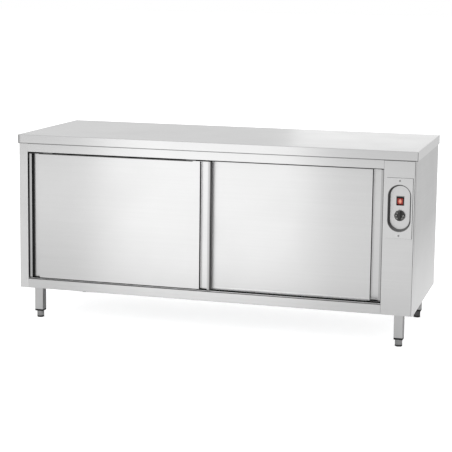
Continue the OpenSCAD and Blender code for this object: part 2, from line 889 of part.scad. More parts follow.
// Hot air unit
// The inside of the fan's housing: a round chamber with a duct that leaves it downwards
module scroll(grow, duct_z) {
    translate([fan_y, fan_z]) circle(scroll_r + grow);
    translate([fan_y + scroll_r - duct_w - grow, duct_z])
        square([duct_w + 2 * grow, fan_z - duct_z]);
}

module fan_housing() {
    duct_z = fan_z - scroll_r - duct_l;
    color(dull_steel) difference() {
        along_x(heater_x0, fan_back_x) scroll(sheet_t, duct_z);
        along_x(heater_x0 - past, fan_back_x - sheet_t) scroll(0, duct_z - past);
        translate([fan_back_x - past, fan_y, fan_z]) rotate([0, 90, 0]) cylinder(h = 2 * past, r = hub_r / 2);
    }
}

// Motor with a bearing bore that its shaft runs in and cooling ribs round its case
module fan_motor() {
    ribs = 12;
    rib_w = 4;
    rib_h = 3;
    flange_t = 4;
    flange_rim = 8;
    case_r = motor_r - rib_h;
    color("dimgray") translate([fan_back_x, fan_y, fan_z]) rotate([0, 90, 0]) difference() {
        union() {
            cylinder(h = flange_t, r = motor_r + flange_rim);
            translate([0, 0, flange_t]) cylinder(h = motor_l - flange_t, r = case_r);
            for (i = [1:ribs]) rotate(i * 360 / ribs)
                translate([case_r - rib_h, -rib_w / 2, flange_t])
                    cube([2 * rib_h, rib_w, motor_l - 2 * flange_t]);
        }
        translate([0, 0, -past]) cylinder(h = past + motor_l - bearing_end, r = shaft_r + pin_gap);
    }
}

module fan_shaft() {
    front = heater_x0 + fan_gap;
    color("silver") translate([front, fan_y, fan_z]) rotate([0, 90, 0])
        cylinder(h = fan_back_x + motor_l - bearing_end - seam - front, r = shaft_r);
}

// Impeller: a back plate, a hub on the shaft, and blades that lean back from the turn
module fan_impeller() {
    plate = 2;
    lean = 35;
    blade_t = 2;
    blade_l = 26;
    rim = 3;
    color("silver") translate([heater_x0 + fan_gap, fan_y, fan_z]) rotate([0, 90, 0]) difference() {
        union() {
            translate([0, 0, fan_w - plate]) cylinder(h = plate, r = fan_r);
            translate([0, 0, hub_gap]) cylinder(h = fan_w - plate - hub_gap, r = hub_r);
            for (i = [1:fan_blades]) rotate(i * 360 / fan_blades)
                translate([fan_r - rim, 0, 0]) rotate(180 - lean)
                    translate([0, -blade_t / 2, 0]) cube([blade_l, blade_t, fan_w - plate / 2]);
        }
        translate([0, 0, -past]) cylinder(h = fan_w + 2 * past, r = shaft_r);
    }
}

// Heating element: one tube bent to and fro, held by a plate that stands on the partition
module heating_element() {
    bend = element_pitch / 2;
    plate_low = [heater_x0, element_y0 - element_plate_t, element_z0 - bend];
    plate_high = [element_x + 3 * element_r, element_y0, element_z0 + (element_runs - 0.5) * element_pitch];
    color("dimgray") {
        for (i = [0:element_runs - 1])
            translate([element_x, element_y0, element_z0 + i * element_pitch]) rotate([-90, 0, 0])
                cylinder(h = element_run, r = element_r);
        for (i = [0:element_runs - 2]) {
            far = i % 2 == 0;
            translate([element_x, far ? element_y0 + element_run : element_y0 - element_plate_t,
                       element_z0 + (i + 0.5) * element_pitch])
                rotate([0, 90, 0]) rotate(far ? 0 : 180) rotate_extrude(angle = 180)
                    translate([bend, 0]) circle(element_r);
        }
        for (i = [0, element_runs - 1])
            translate([element_x, element_y0 - element_plate_t, element_z0 + i * element_pitch])
                rotate([90, 0, 0]) cylinder(h = element_pin_l, r = element_pin_r);
        span(plate_low, plate_high);
    }
}

module terminal_block() {
    ways = 5;
    way_w = 11;
    block_d = 24;
    block_h = 26;
    well_r = 3;
    well_d = 8;
    entry_w = 7;
    entry_h = 8;
    entry_d = 5;
    entry_z = 6;
    rib_gap = 1.2;
    rib_d = 4;
    x0 = gland_x - ways * way_w / 2;
    y0 = gland_y - terminal_gap - block_d;
    z0 = base_z + sheet_t;
    color("ivory") difference() {
        span([x0, y0, z0], [x0 + ways * way_w, y0 + block_d, z0 + block_h]);
        for (i = [0:ways - 1]) {
            x = x0 + (i + 0.5) * way_w;
            translate([x, y0 + block_d / 2, z0 + block_h - well_d]) cylinder(h = well_d + past, r = well_r);
            span([x - entry_w / 2, y0 - past, z0 + entry_z],
                 [x + entry_w / 2, y0 + entry_d, z0 + entry_z + entry_h]);
        }
        for (i = [1:ways - 1])
            span([x0 + i * way_w - rib_gap / 2, y0 - past, z0 + block_h - rib_d],
                 [x0 + i * way_w + rib_gap / 2, y0 + block_d + past, z0 + block_h + past]);
    }
}

// Back and base
module service_cover() {
    vents = 9;
    vent_pitch = 16;
    vent_l = 40;
    vent_w = 5;
    color(steel) along_y(back_y, back_y + sheet_t) difference() {
        translate([cover_x, cover_z]) round_block(cover_w, cover_h, cover_corner_r);
        for (i = [0:vents - 1])
            translate([cover_x, cover_z - (vents - 1) * vent_pitch / 2 + i * vent_pitch])
                slot(vent_l, vent_w);
        cover_screw_places() circle(screw_r + pin_gap);
    }
}

module cable_gland() {
    color(black) translate([gland_x, gland_y, base_z]) difference() {
        union() {
            cylinder(h = gland_inside_h, r = gland_r);
            translate([0, 0, -gland_nut_h]) cylinder(h = gland_nut_h, r = gland_nut_r, $fn = 6);
            translate([0, 0, -gland_nut_h - gland_dome_h])
                cylinder(h = gland_dome_h, r1 = gland_bore_r + gland_dome_wall,
                         r2 = gland_r + gland_dome_wall);
        }
        translate([0, 0, -gland_nut_h - gland_dome_h - past])
            cylinder(h = gland_nut_h + gland_dome_h + gland_inside_h + 2 * past, r = gland_bore_r);
    }
}

module gland_locknut() {
    color(black) translate([gland_x, gland_y, base_z + sheet_t]) difference() {
        cylinder(h = locknut_h, r = gland_nut_r, $fn = 6);
        translate([0, 0, -past]) cylinder(h = locknut_h + 2 * past, r = gland_r + pin_gap);
    }
}

// Legs and feet
module leg(place) {
    bore_w = leg_w - 2 * leg_wall;
    color(steel) translate(place) {
        along_z(leg_z0, base_z - leg_plate_t) difference() {
            round_block(leg_w, leg_w, leg_corner_r);
            round_block(bore_w, bore_w, leg_corner_r - leg_wall);
        }
        along_z(base_z - leg_plate_t, base_z) round_block(leg_plate_w, leg_plate_w, leg_plate_r);
    }
}

module leg_front_left() { leg(leg_places[0]); }
module leg_front_right() { leg(leg_places[1]); }
module leg_rear_left() { leg(leg_places[2]); }
module leg_rear_right() { leg(leg_places[3]); }

// Black plugs in the legs' ends, each with a bore for a foot's stem
module leg_inserts() {
    plug_w = leg_w - 2 * (leg_wall + pin_gap);
    color(black) for (place = leg_places) translate(place) difference() {
        union() {
            along_z(collar_z, leg_z0) round_block(leg_w, leg_w, leg_corner_r);
            along_z(leg_z0, leg_z0 + insert_h) round_block(plug_w, plug_w, leg_corner_r - leg_wall);
        }
        translate([0, 0, collar_z - past])
            cylinder(h = collar_h + insert_h + 2 * past, r = stem_r + pin_gap);
    }
}

// Foot: a turned cup on a threaded stem
module foot(place) {
    top = collar_z - foot_gap;
    edge = 1.5;
    color(dull_steel) translate(place) rotate_extrude() {
        translate([0, edge]) square([foot_r, top - edge]);
        square([foot_r - edge, edge]);
        translate([foot_r - edge, edge]) circle(edge);
        translate([0, top]) square([stem_r, collar_h + insert_h + foot_travel]);
    }
}

module foot_front_left() { foot(leg_places[0]); }
module foot_front_right() { foot(leg_places[1]); }
module foot_rear_left() { foot(leg_places[2]); }
module foot_rear_right() { foot(leg_places[3]); }

// Doors
// The two finger grips of a door, from its bottom fold to its top one, grown by a sheet for their outside
module grip_forms(x0, y0, grow) {
    for (x = [x0 + grip_lip, x0 + door_w - grip_lip - grip_w])
        along_z(door_z0 + door_skin - grow, door_z1 - door_skin + grow)
            round_rect([x - grow, y0 + grow - 2 * grip_r], [x + grip_w + grow, y0 + grip_d + grow],
                       grip_r + grow / 2);
}

// The plan of a door with round front edges
module door_plan(x0, y0, inset, depth) {
    r = door_edge_r - inset / 2;
    round_rect([x0 + inset, y0 + inset], [x0 + door_w - inset, y0 + depth], r);
    translate([x0 + inset, y0 + depth - 2 * r]) square([door_w - 2 * inset, 2 * r]);
}

// Front of a door: a tray folded back on all four edges, with a finger grip folded in along each side
module door_front(x0, y0) {
    mid_y = y0 + door_t / 2;
    depth = door_t - door_skin;
    color(steel) difference() {
        union() {
            difference() {
                along_z(door_z0, door_z1) door_plan(x0, y0, 0, depth);
                along_z(door_z0 + door_skin, door_z1 - door_skin)
                    door_plan(x0, y0, door_skin, door_t + past);
            }
            intersection() {
                grip_forms(x0, y0, door_skin);
                span([x0, y0, door_z0], [x0 + door_w, y0 + depth, door_z1]);
            }
        }
        grip_forms(x0, y0, 0);
        span([x0 - past, mid_y - fin_slot_w / 2, door_z0 - past],
             [x0 + door_w + past, mid_y + fin_slot_w / 2, guide_z1]);
    }
}

module door_back(x0, y0) {
    color(steel) span([x0, y0 + door_t - door_skin, door_z0], [x0 + door_w, y0 + door_t, door_z1]);
}

// Channel along the bottom of a door between its grips, which the fin on the floor keeps in line
module door_guide(x0, y0) {
    mid_y = y0 + door_t / 2;
    inset = grip_lip + grip_w + door_skin + seam;
    low = [x0 + inset, mid_y - fin_slot_w / 2 - guide_t, door_z0 + door_skin];
    high = [x0 + door_w - inset, mid_y + fin_slot_w / 2 + guide_t, guide_z1 + guide_t];
    color(black) difference() {
        span(low, high);
        span(low + [-past, guide_t, -past], high - [-past, guide_t, guide_t]);
    }
}

module door_core(x0, y0) {
    g = board_gap;
    mid_y = y0 + door_t / 2;
    edge = door_skin + g;
    guide_half = fin_slot_w / 2 + guide_t + g;
    color("khaki") difference() {
        span([x0 + edge, y0 + edge, door_z0 + edge],
             [x0 + door_w - edge, y0 + door_t - edge, door_z1 - edge]);
        grip_forms(x0, y0, edge);
        span([x0 - past, mid_y - guide_half, door_z0 - past],
             [x0 + door_w + past, mid_y + guide_half, guide_z1 + guide_t + g]);
    }
}

// Place along X of a door's left or right roller
function roller_x(x0, side) = side < 0 ? x0 + roller_inset : x0 + door_w - roller_inset;

// Hangers: an angle on the door's top edge, with a riveted axle behind it that carries a roller
module door_hangers(x0, y0) {
    roller_y0 = bead_y - roller_w / 2 - roller_side_gap;
    roller_y1 = bead_y + roller_w / 2 + roller_side_gap;
    top_r = 8;
    shoulder = 6;
    color(dull_steel) for (side = [-1, 1])
        translate([roller_x(x0, side), y0 + door_t / 2, 0]) {
            along_y(hanger_y - hanger_t / 2, hanger_y + hanger_t / 2) {
                translate([0, axle_z]) circle(top_r);
                polygon([
                    [-hanger_w / 2, door_z1], [hanger_w / 2, door_z1],
                    [hanger_w / 2, door_z1 + shoulder], [top_r, axle_z], [-top_r, axle_z],
                    [-hanger_w / 2, door_z1 + shoulder]
                ]);
            }
            span([-hanger_w / 2, hanger_y + hanger_t / 2, door_z1],
                 [hanger_w / 2, hanger_y + hanger_t / 2 + hanger_foot_w, door_z1 + hanger_t]);
            translate([0, hanger_y + hanger_t / 2, axle_z]) rotate([-90, 0, 0]) {
                cylinder(h = roller_y0 - hanger_y - hanger_t / 2, r = axle_head_r);
                cylinder(h = roller_y1 - hanger_y - hanger_t / 2, r = axle_r);
            }
            translate([0, roller_y1, axle_z]) rotate([-90, 0, 0])
                cylinder(h = axle_head_t, r = axle_head_r);
        }
}

// Roller: a grooved wheel with rounded rims on a running bore
module door_roller(x0, y0, side) {
    rim = 1;
    half_w = roller_w / 2;
    bore_r = axle_r + pin_gap;
    groove_r = bead_r + roller_gap;
    color("whitesmoke") translate([roller_x(x0, side), y0 + door_t / 2 + bead_y, axle_z]) rotate([-90, 0, 0])
        rotate_extrude() difference() {
            polygon([
                [bore_r, -half_w], [roller_rim_r - rim, -half_w], [roller_rim_r, rim - half_w],
                [roller_rim_r, half_w - rim], [roller_rim_r - rim, half_w], [bore_r, half_w]
            ]);
            translate([roller_r + groove_r, 0]) circle(groove_r);
            translate([roller_r + groove_r, -groove_r]) square([roller_rim_r, 2 * groove_r]);
        }
}

module left_door_front() { door_front(left_door_x, left_door_y); }
module left_door_back() { door_back(left_door_x, left_door_y); }
module left_door_core() { door_core(left_door_x, left_door_y); }
module left_door_guide() { door_guide(left_door_x, left_door_y); }
module left_door_hangers() { door_hangers(left_door_x, left_door_y); }
module left_door_roller_left() { door_roller(left_door_x, left_door_y, -1); }
module left_door_roller_right() { door_roller(left_door_x, left_door_y, 1); }
module right_door_front() { door_front(right_door_x, right_door_y); }
module right_door_back() { door_back(right_door_x, right_door_y); }
module right_door_core() { door_core(right_door_x, right_door_y); }
module right_door_guide() { door_guide(right_door_x, right_door_y); }
module right_door_hangers() { door_hangers(right_door_x, right_door_y); }
module right_door_roller_left() { door_roller(right_door_x, right_door_y, -1); }
module right_door_roller_right() { door_roller(right_door_x, right_door_y, 1); }

worktop();
worktop_stiffeners();
left_side_panel();
right_side_panel();
back_panel();
base_panel();
door_header();
door_sill();
control_column();
chamber_left_liner();
chamber_back_liner();
chamber_ceiling();
chamber_floor();
heater_partition();
insulation_boards();
front_door_track();
rear_door_track();
floor_guide();
shelf();
shelf_angles();
control_plate();
panel_screws();
switch_housing();
switch_rocker();
thermostat_body();
thermostat_spindle();
thermostat_capillary();
thermostat_knob();
fan_housing();
fan_motor();
fan_shaft();
fan_impeller();
heating_element();
terminal_block();
service_cover();
cable_gland();
gland_locknut();
leg_front_left();
leg_front_right();
leg_rear_left();
leg_rear_right();
leg_inserts();
foot_front_left();
foot_front_right();
foot_rear_left();
foot_rear_right();
left_door_front();
left_door_back();
left_door_core();
left_door_guide();
left_door_hangers();
left_door_roller_left();
left_door_roller_right();
right_door_front();
right_door_back();
right_door_core();
right_door_guide();
right_door_hangers();
right_door_roller_left();
right_door_roller_right();
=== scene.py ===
"""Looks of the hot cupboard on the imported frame: camera, studio, brushed steel and small printed marks."""
import math

import bpy
import numpy as np
from mathutils import Matrix, Vector


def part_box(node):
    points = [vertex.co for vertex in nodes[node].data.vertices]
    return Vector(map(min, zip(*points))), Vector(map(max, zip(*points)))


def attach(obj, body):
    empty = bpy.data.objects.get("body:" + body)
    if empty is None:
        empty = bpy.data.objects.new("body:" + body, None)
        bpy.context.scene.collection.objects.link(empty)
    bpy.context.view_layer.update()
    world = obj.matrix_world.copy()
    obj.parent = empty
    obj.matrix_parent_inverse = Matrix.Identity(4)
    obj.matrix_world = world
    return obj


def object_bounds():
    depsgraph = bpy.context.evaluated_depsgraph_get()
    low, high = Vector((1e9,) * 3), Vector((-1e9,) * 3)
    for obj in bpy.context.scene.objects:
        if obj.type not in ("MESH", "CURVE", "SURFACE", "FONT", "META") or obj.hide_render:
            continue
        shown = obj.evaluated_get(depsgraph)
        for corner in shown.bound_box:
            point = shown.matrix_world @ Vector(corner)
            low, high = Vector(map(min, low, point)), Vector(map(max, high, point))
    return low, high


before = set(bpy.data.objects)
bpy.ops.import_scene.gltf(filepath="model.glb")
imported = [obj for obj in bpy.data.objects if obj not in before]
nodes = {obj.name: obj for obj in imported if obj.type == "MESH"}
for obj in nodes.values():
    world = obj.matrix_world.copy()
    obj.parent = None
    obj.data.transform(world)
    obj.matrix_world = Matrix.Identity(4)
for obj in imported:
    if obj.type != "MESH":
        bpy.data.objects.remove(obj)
CAD_LOW, CAD_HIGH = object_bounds()

# Photograph, in pixels: its size, the place where the lens axis meets it, and the focal length
IMAGE_PX = 452
AXIS_PX = (226, 180)
FOCAL_PX = 1387.7

# Camera, found from the cupboard's corners: place in metres, angles in degrees
CAMERA_AT = Vector((1.686, -6.052, 1.537))
CAMERA_YAW = 15.79
CAMERA_PITCH = -8.12
CAMERA_ROLL = 0.69
SENSOR_MM = 36.0
CLIP_FAR = 200.0


def make_camera():
    """A camera along yaw and pitch, turned by roll, with its lens axis off the picture's middle."""
    yaw, pitch, roll = (math.radians(a) for a in (CAMERA_YAW, CAMERA_PITCH, CAMERA_ROLL))
    ahead = Vector((-math.sin(yaw) * math.cos(pitch), math.cos(yaw) * math.cos(pitch), math.sin(pitch)))
    right = Vector((math.cos(yaw), math.sin(yaw), 0.0))
    up = right.cross(ahead)
    side = right * math.cos(roll) + up * math.sin(roll)
    top = up * math.cos(roll) - right * math.sin(roll)
    data = bpy.data.cameras.new("camera")
    data.sensor_width = SENSOR_MM
    data.lens = FOCAL_PX / IMAGE_PX * SENSOR_MM
    data.shift_x = (IMAGE_PX / 2 - AXIS_PX[0]) / IMAGE_PX
    data.shift_y = (AXIS_PX[1] - IMAGE_PX / 2) / IMAGE_PX
    data.clip_end = CLIP_FAR
    camera = bpy.data.objects.new("camera", data)
    camera.matrix_world = Matrix((side, top, -ahead)).transposed().to_4x4()
    camera.location = CAMERA_AT
    bpy.context.scene.collection.objects.link(camera)
    bpy.context.scene.camera = camera


make_camera()


# Node helpers
def node_group(name, inputs, outputs):
    """An empty shader group with named inputs (label, kind, value) and outputs (label, kind)."""
    group = bpy.data.node_groups.new(name, "ShaderNodeTree")
    for label, kind, value in inputs:
        socket = group.interface.new_socket(label, in_out="INPUT", socket_type=kind)
        socket.default_value = value
    for label, kind in outputs:
        group.interface.new_socket(label, in_out="OUTPUT", socket_type=kind)
    return group, group.nodes.new("NodeGroupInput"), group.nodes.new("NodeGroupOutput")


def add(tree, kind, **values):
    """A node of a kind, with its own settings and, by socket name, the values of its unlinked inputs."""
    node = tree.nodes.new(kind)
    for key, value in values.items():
        if hasattr(node, key):
            setattr(node, key, value)
        else:
            node.inputs[key.replace("_", " ")].default_value = value
    return node


def ramp(tree, source, low, high, to_low, to_high):
    """A value mapped from one range to another, clamped at both ends."""
    node = tree.nodes.new("ShaderNodeMapRange")
    tree.links.new(source, node.inputs["Value"])
    for label, value in (("From Min", low), ("From Max", high), ("To Min", to_low), ("To Max", to_high)):
        node.inputs[label].default_value = value
    return node.outputs["Result"]


def blend_colour(tree, factor, first, second):
    """A mix of two colours by a factor, each colour a value or a socket."""
    node = tree.nodes.new("ShaderNodeMix")
    node.data_type = "RGBA"
    tree.links.new(factor, node.inputs["Factor"])
    for label, value in (("A", first), ("B", second)):
        socket = [s for s in node.inputs if s.name == label and s.type == "RGBA"][0]
        if isinstance(value, tuple):
            socket.default_value = (*value, 1.0)
        else:
            tree.links.new(value, socket)
    return [s for s in node.outputs if s.type == "RGBA"][0]


def maths(tree, operation, first, second):
    """One sum of two values, each a number or a socket."""
    node = tree.nodes.new("ShaderNodeMath")
    node.operation = operation
    for index, value in enumerate((first, second)):
        if isinstance(value, (int, float)):
            node.inputs[index].default_value = value
        else:
            tree.links.new(value, node.inputs[index])
    return node.outputs[0]


def largest(tree, first, *others):
    """The largest of several values."""
    for value in others:
        first = maths(tree, "MAXIMUM", first, value)
    return first


def off_middle(tree, value, middle):
    """How far a value lies from a middle, to either side."""
    return maths(tree, "ABSOLUTE", maths(tree, "SUBTRACT", value, middle), 0.0)


def object_place(tree):
    """The place on the surface, in the part's own coordinates."""
    return tree.nodes.new("ShaderNodeTexCoord").outputs["Object"]


def object_normal(tree):
    """The direction that the surface faces."""
    return tree.nodes.new("ShaderNodeTexCoord").outputs["Normal"]


def split_vector(tree, vector):
    """The three coordinates of a place or a direction."""
    split = tree.nodes.new("ShaderNodeSeparateXYZ")
    tree.links.new(vector, split.inputs["Vector"])
    return split.outputs["X"], split.outputs["Y"], split.outputs["Z"]


def scaled(tree, place, scale):
    """A place with its three coordinates multiplied."""
    mapping = add(tree, "ShaderNodeMapping", Scale=scale)
    tree.links.new(place, mapping.inputs["Vector"])
    return mapping.outputs["Vector"]


def noise(tree, place, **values):
    """Noise at a place."""
    node = add(tree, "ShaderNodeTexNoise", **values)
    tree.links.new(place, node.inputs["Vector"])
    return node.outputs["Fac"]


def set_relief(tree, shader, height, strength, depth):
    """Relief on a shader from a height."""
    bump = add(tree, "ShaderNodeBump", Strength=strength, Distance=depth)
    tree.links.new(height, bump.inputs["Height"])
    tree.links.new(bump.outputs["Normal"], shader.inputs["Normal"])


# The part of each noise's range that is spread from none to full
NOISE_SPAN = (0.3, 0.7)
FINE_SPAN = (0.25, 0.75)
DRIFT_SPAN = (0.35, 0.7)
FIBRE_SPAN = (0.1, 0.4)

# How far a normal keeps to the face's direction where the sheet counts as turned, and where as face
TURNED_FULL, TURNED_NONE = 0.35, 0.9


def make_brushed_group():
    """Brushed grain: fine streaks and broad bands of noise, drawn out along the grain by the coordinates."""
    tree, start, end = node_group(
        "brushed_grain",
        [("Grain Vector", "NodeSocketVector", (0, 0, 0)), ("Band Contrast", "NodeSocketFloat", 0.5)],
        [("Streak", "NodeSocketFloat"), ("Height", "NodeSocketFloat")])
    place = start.outputs["Grain Vector"]
    fine = ramp(tree, noise(tree, place, Scale=1.0, Detail=2.0, Roughness=0.6), *FINE_SPAN, 0.0, 1.0)
    broad = ramp(tree, noise(tree, place, Scale=0.11, Detail=3.0, Roughness=0.55), *NOISE_SPAN, 0.0, 1.0)
    mixed = tree.nodes.new("ShaderNodeMix")
    tree.links.new(start.outputs["Band Contrast"], mixed.inputs["Factor"])
    tree.links.new(fine, mixed.inputs["A"])
    tree.links.new(broad, mixed.inputs["B"])
    tree.links.new(mixed.outputs["Result"], end.inputs["Streak"])
    tree.links.new(fine, end.inputs["Height"])
    return tree


def make_handling_group():
    """Traces of wiping: wide soft smears from one noise that is bent by itself."""
    tree, start, end = node_group(
        "wiped_smears",
        [("Place", "NodeSocketVector", (0, 0, 0)), ("Size", "NodeSocketFloat", 4.0)],
        [("Smear", "NodeSocketFloat")])
    wide = add(tree, "ShaderNodeTexNoise", Detail=3.0, Roughness=0.5, Distortion=0.6)
    tree.links.new(start.outputs["Place"], wide.inputs["Vector"])
    tree.links.new(start.outputs["Size"], wide.inputs["Scale"])
    tree.links.new(ramp(tree, wide.outputs["Fac"], *NOISE_SPAN, 0.0, 1.0), end.inputs["Smear"])
    return tree


def make_turned_group():
    """Sheet turned away from the face: a mask from how little its normal keeps to the face's direction."""
    tree, start, end = node_group(
        "turned_sheet",
        [("Face Direction", "NodeSocketVector", (0, 1, 0)), ("Normal", "NodeSocketVector", (0, 1, 0))],
        [("Turned", "NodeSocketFloat")])
    along = add(tree, "ShaderNodeVectorMath", operation="DOT_PRODUCT")
    tree.links.new(start.outputs["Face Direction"], along.inputs[0])
    tree.links.new(start.outputs["Normal"], along.inputs[1])
    facing = maths(tree, "ABSOLUTE", along.outputs["Value"], 0.0)
    tree.links.new(ramp(tree, facing, TURNED_FULL, TURNED_NONE, 1.0, 0.0), end.inputs["Turned"])
    return tree


BRUSHED = make_brushed_group()
SMEARS = make_handling_group()
TURNED = make_turned_group()


def new_material(name):
    """A node material with a bare Principled shader; gives the material, its tree and the shader."""
    material = bpy.data.materials.new(name)
    material.use_nodes = True
    tree = material.node_tree
    return material, tree, tree.nodes["Principled BSDF"]


# Masks, lengths in metres: the widths over which a line's edge fades
SOFT = 0.001
THIN = 0.0005


def turned_mask(tree, _place):
    """One on walls and edges that turn away from the front, zero on the face."""
    group = add(tree, "ShaderNodeGroup", node_tree=TURNED)
    tree.links.new(object_normal(tree), group.inputs["Normal"])
    return group.outputs["Turned"]


# The worktop's skirt: its depth, the fold over it, the skin that counts as its front, and the width of the
# dark line at its corners
SKIRT = 0.040
TOP_FOLD = 0.0025
FRONT_SKIN = 0.0006
CORNER_LINE_W = 0.0016

# Shades on the skirt: how far inward from the left end, how far up from the foot, and how dark
LEFT_REACH, LEFT_SHADE = 0.014, 0.85
FOOT_REACH, FOOT_SHADE = 0.0022, 0.85


def corner_mask(tree, place):
    """Shade on the worktop's skirt: at both corners, softer inward from the left, and along its foot."""
    x, y, z = split_vector(tree, place)
    corner_line = CAD_HIGH[0] - CORNER_LINE_W
    front = CAD_LOW[1] + FRONT_SKIN
    fold = CAD_HIGH[2] - TOP_FOLD
    line = CAD_HIGH[2] - SKIRT + FOOT_REACH
    near_end = ramp(tree, maths(tree, "ABSOLUTE", x, 0.0), corner_line - SOFT, corner_line, 0.0, 1.0)
    near_left = ramp(tree, x, CAD_LOW[0], CAD_LOW[0] + LEFT_REACH, LEFT_SHADE, 0.0)
    near_front = ramp(tree, y, front, front + SOFT, 1.0, 0.0)
    under_fold = ramp(tree, z, fold - SOFT, fold, 1.0, 0.0)
    foot = ramp(tree, z, line, line + SOFT, FOOT_SHADE, 0.0)
    ends = maths(tree, "MULTIPLY", largest(tree, near_end, near_left), under_fold)
    return maths(tree, "MULTIPLY", largest(tree, ends, foot), near_front)


# Painted shade on a door, inward from its sides: its outer edge and the lip outside its grip, and how dark
# each is
DOOR_EDGE, EDGE_SHADE = 0.004, 0.65
GRIP_LIP, LIP_SHADE = 0.013, 0.28

# The grip's floor: where it begins behind the face, and the full and the fading painted shade from its left
# wall
GRIP_DEPTH = 0.006
GRIP_DARK, GRIP_FADE = 0.004, 0.013

# A door's walls carry painted shade down to one depth, fade to the next, and keep this share of it behind
WALL_DARK, WALL_FADE, WALL_REST = 0.014, 0.018, 0.25

# Painted shadow lines along a door's foot and head: heights, and how far before the right edge the upper ends
DOOR_LINES = {"left_door_front": (0.0035, 0.003, 0.080), "right_door_front": (0.0015, 0.0022, 0.0)}
HEAD_SHADE, HEAD_FADE = 0.8, 0.004


def grip_mask(door):
    """Mask maker for a door's painted shade: walls, edges, lips, the left of its grip's floor, lines at foot
    and head.
    """
    low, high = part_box(door)
    foot_line, head_line, head_gap = DOOR_LINES[door]
    foot_z, head_z, head_x = low[2] + foot_line, high[2] - head_line, high[0] - head_gap
    floor_y = low[1] + GRIP_DEPTH

    def make_mask(tree, place):
        """The door's mask at a place."""
        x, y, z = split_vector(tree, place)
        from_left = maths(tree, "SUBTRACT", x, low[0])
        from_side = maths(tree, "MINIMUM", from_left, maths(tree, "SUBTRACT", high[0], x))
        edge = ramp(tree, from_side, DOOR_EDGE, DOOR_EDGE + SOFT, EDGE_SHADE, 0.0)
        lip = ramp(tree, from_side, GRIP_LIP - SOFT, GRIP_LIP, LIP_SHADE, 0.0)
        beside = ramp(tree, from_left, GRIP_LIP + GRIP_DARK, GRIP_LIP + GRIP_FADE, 1.0, 0.0)
        deep = ramp(tree, y, floor_y, floor_y + 2 * SOFT, 0.0, 1.0)
        in_grip = maths(tree, "MULTIPLY", beside, deep)
        wall_depth = ramp(tree, y, low[1] + WALL_DARK, low[1] + WALL_FADE, 1.0, WALL_REST)
        walls = maths(tree, "MULTIPLY", turned_mask(tree, place), wall_depth)
        foot = ramp(tree, z, foot_z, foot_z + THIN, 1.0, 0.0)
        at_head = ramp(tree, z, head_z - THIN, head_z, 0.0, HEAD_SHADE)
        before_end = ramp(tree, x, head_x - HEAD_FADE, head_x, 1.0, 0.0)
        head = maths(tree, "MULTIPLY", at_head, before_end)
        return largest(tree, edge, lip, in_grip, walls, foot, head)

    return make_mask


# The sill's top is bright along its front edge, then dark in the shade of the doors
SILL_BRIGHT, SILL_DARK = 0.022, 0.027


def sill_mask(tree, place):
    """Painted shade on the sill's walls and its top, but for the bright strip along the front edge."""
    _, y, _ = split_vector(tree, place)
    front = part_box("door_sill")[0][1]
    behind = ramp(tree, y, front + SILL_BRIGHT, front + SILL_DARK, 0.0, 1.0)
    return maths(tree, "MULTIPLY", turned_mask(tree, place), behind)


# The floor guide: where painted shade on its fins begins over its plate, and the plate before the first fin
FIN_BRIGHT, FIN_DARK = 0.0022, 0.0028
PLATE_FRONT, PLATE_SHADE = 0.0115, 0.8

# How far a fin's normal points along y where its dark is full, and where there is none
TO_FRONT, TO_SIDE = -0.8, -0.4


def guide_mask(tree, place):
    """Painted shade on the front faces of the floor guide's fins, and on most of the plate before the first
    fin.
    """
    _, y, z = split_vector(tree, place)
    _, facing, _ = split_vector(tree, object_normal(tree))
    _, front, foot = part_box("floor_guide")[0]
    on_fins = ramp(tree, z, foot + FIN_BRIGHT, foot + FIN_DARK, 0.0, 1.0)
    to_front = ramp(tree, facing, TO_FRONT, TO_SIDE, 1.0, 0.0)
    before = ramp(tree, y, front + PLATE_FRONT, front + PLATE_FRONT + THIN, PLATE_SHADE, 0.0)
    return largest(tree, maths(tree, "MULTIPLY", to_front, on_fins), before)


# Painted light on the strip along the right door's foot: height to which it is bright, and where it ends
LIFT_FULL, LIFT_END = 0.005, 0.014


def foot_lift(tree, place):
    """Painted light on the strip along the right door's foot, as if thrown up by the sill before it."""
    _, _, z = split_vector(tree, place)
    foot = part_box("right_door_front")[0][2]
    return ramp(tree, z, foot + LIFT_FULL, foot + LIFT_END, 1.0, 0.0)


# How far a leg's normal points sideways where its shade begins and where it is full
SIDE_NONE, SIDE_FULL = 0.4, 0.8


def side_mask(tree, _place):
    """One on faces turned to the left or the right, zero on the others."""
    x, _, _ = split_vector(tree, object_normal(tree))
    return ramp(tree, maths(tree, "ABSOLUTE", x, 0.0), SIDE_NONE, SIDE_FULL, 0.0, 1.0)


# Heights between which a side panel changes from its paler lower to its darker upper tint, painted light and
# shade
PANEL_LOWER, PANEL_UPPER = 0.16, 0.52


def height_mask(tree, place):
    """Painted shade: one on the upper half of a side panel, falling to zero at its foot."""
    _, _, z = split_vector(tree, place)
    return ramp(tree, z, PANEL_LOWER, PANEL_UPPER, 0.0, 1.0)


# The control plate's dish: half its straight part, its end radius, and the painted shadow line along its rim
DISH_STRAIGHT = 0.051
DISH_R = 0.048
RIM_HALF, RIM_SHADE = 0.0012, 0.6

# The dish's walls carry painted shade: how far a wall faces up where it turns paler, where palest, and how
# dark it stays
LEDGE_NONE, LEDGE_FULL, LEDGE_SHADE = 0.3, 0.9, 0.7

# The shade round the switch's bezel: how far up it is shifted, where it is full and ends, and how dark
BEZEL_UP = 0.002
BEZEL_DARK, BEZEL_FADE, BEZEL_SHADE = 0.0008, 0.0035, 0.7


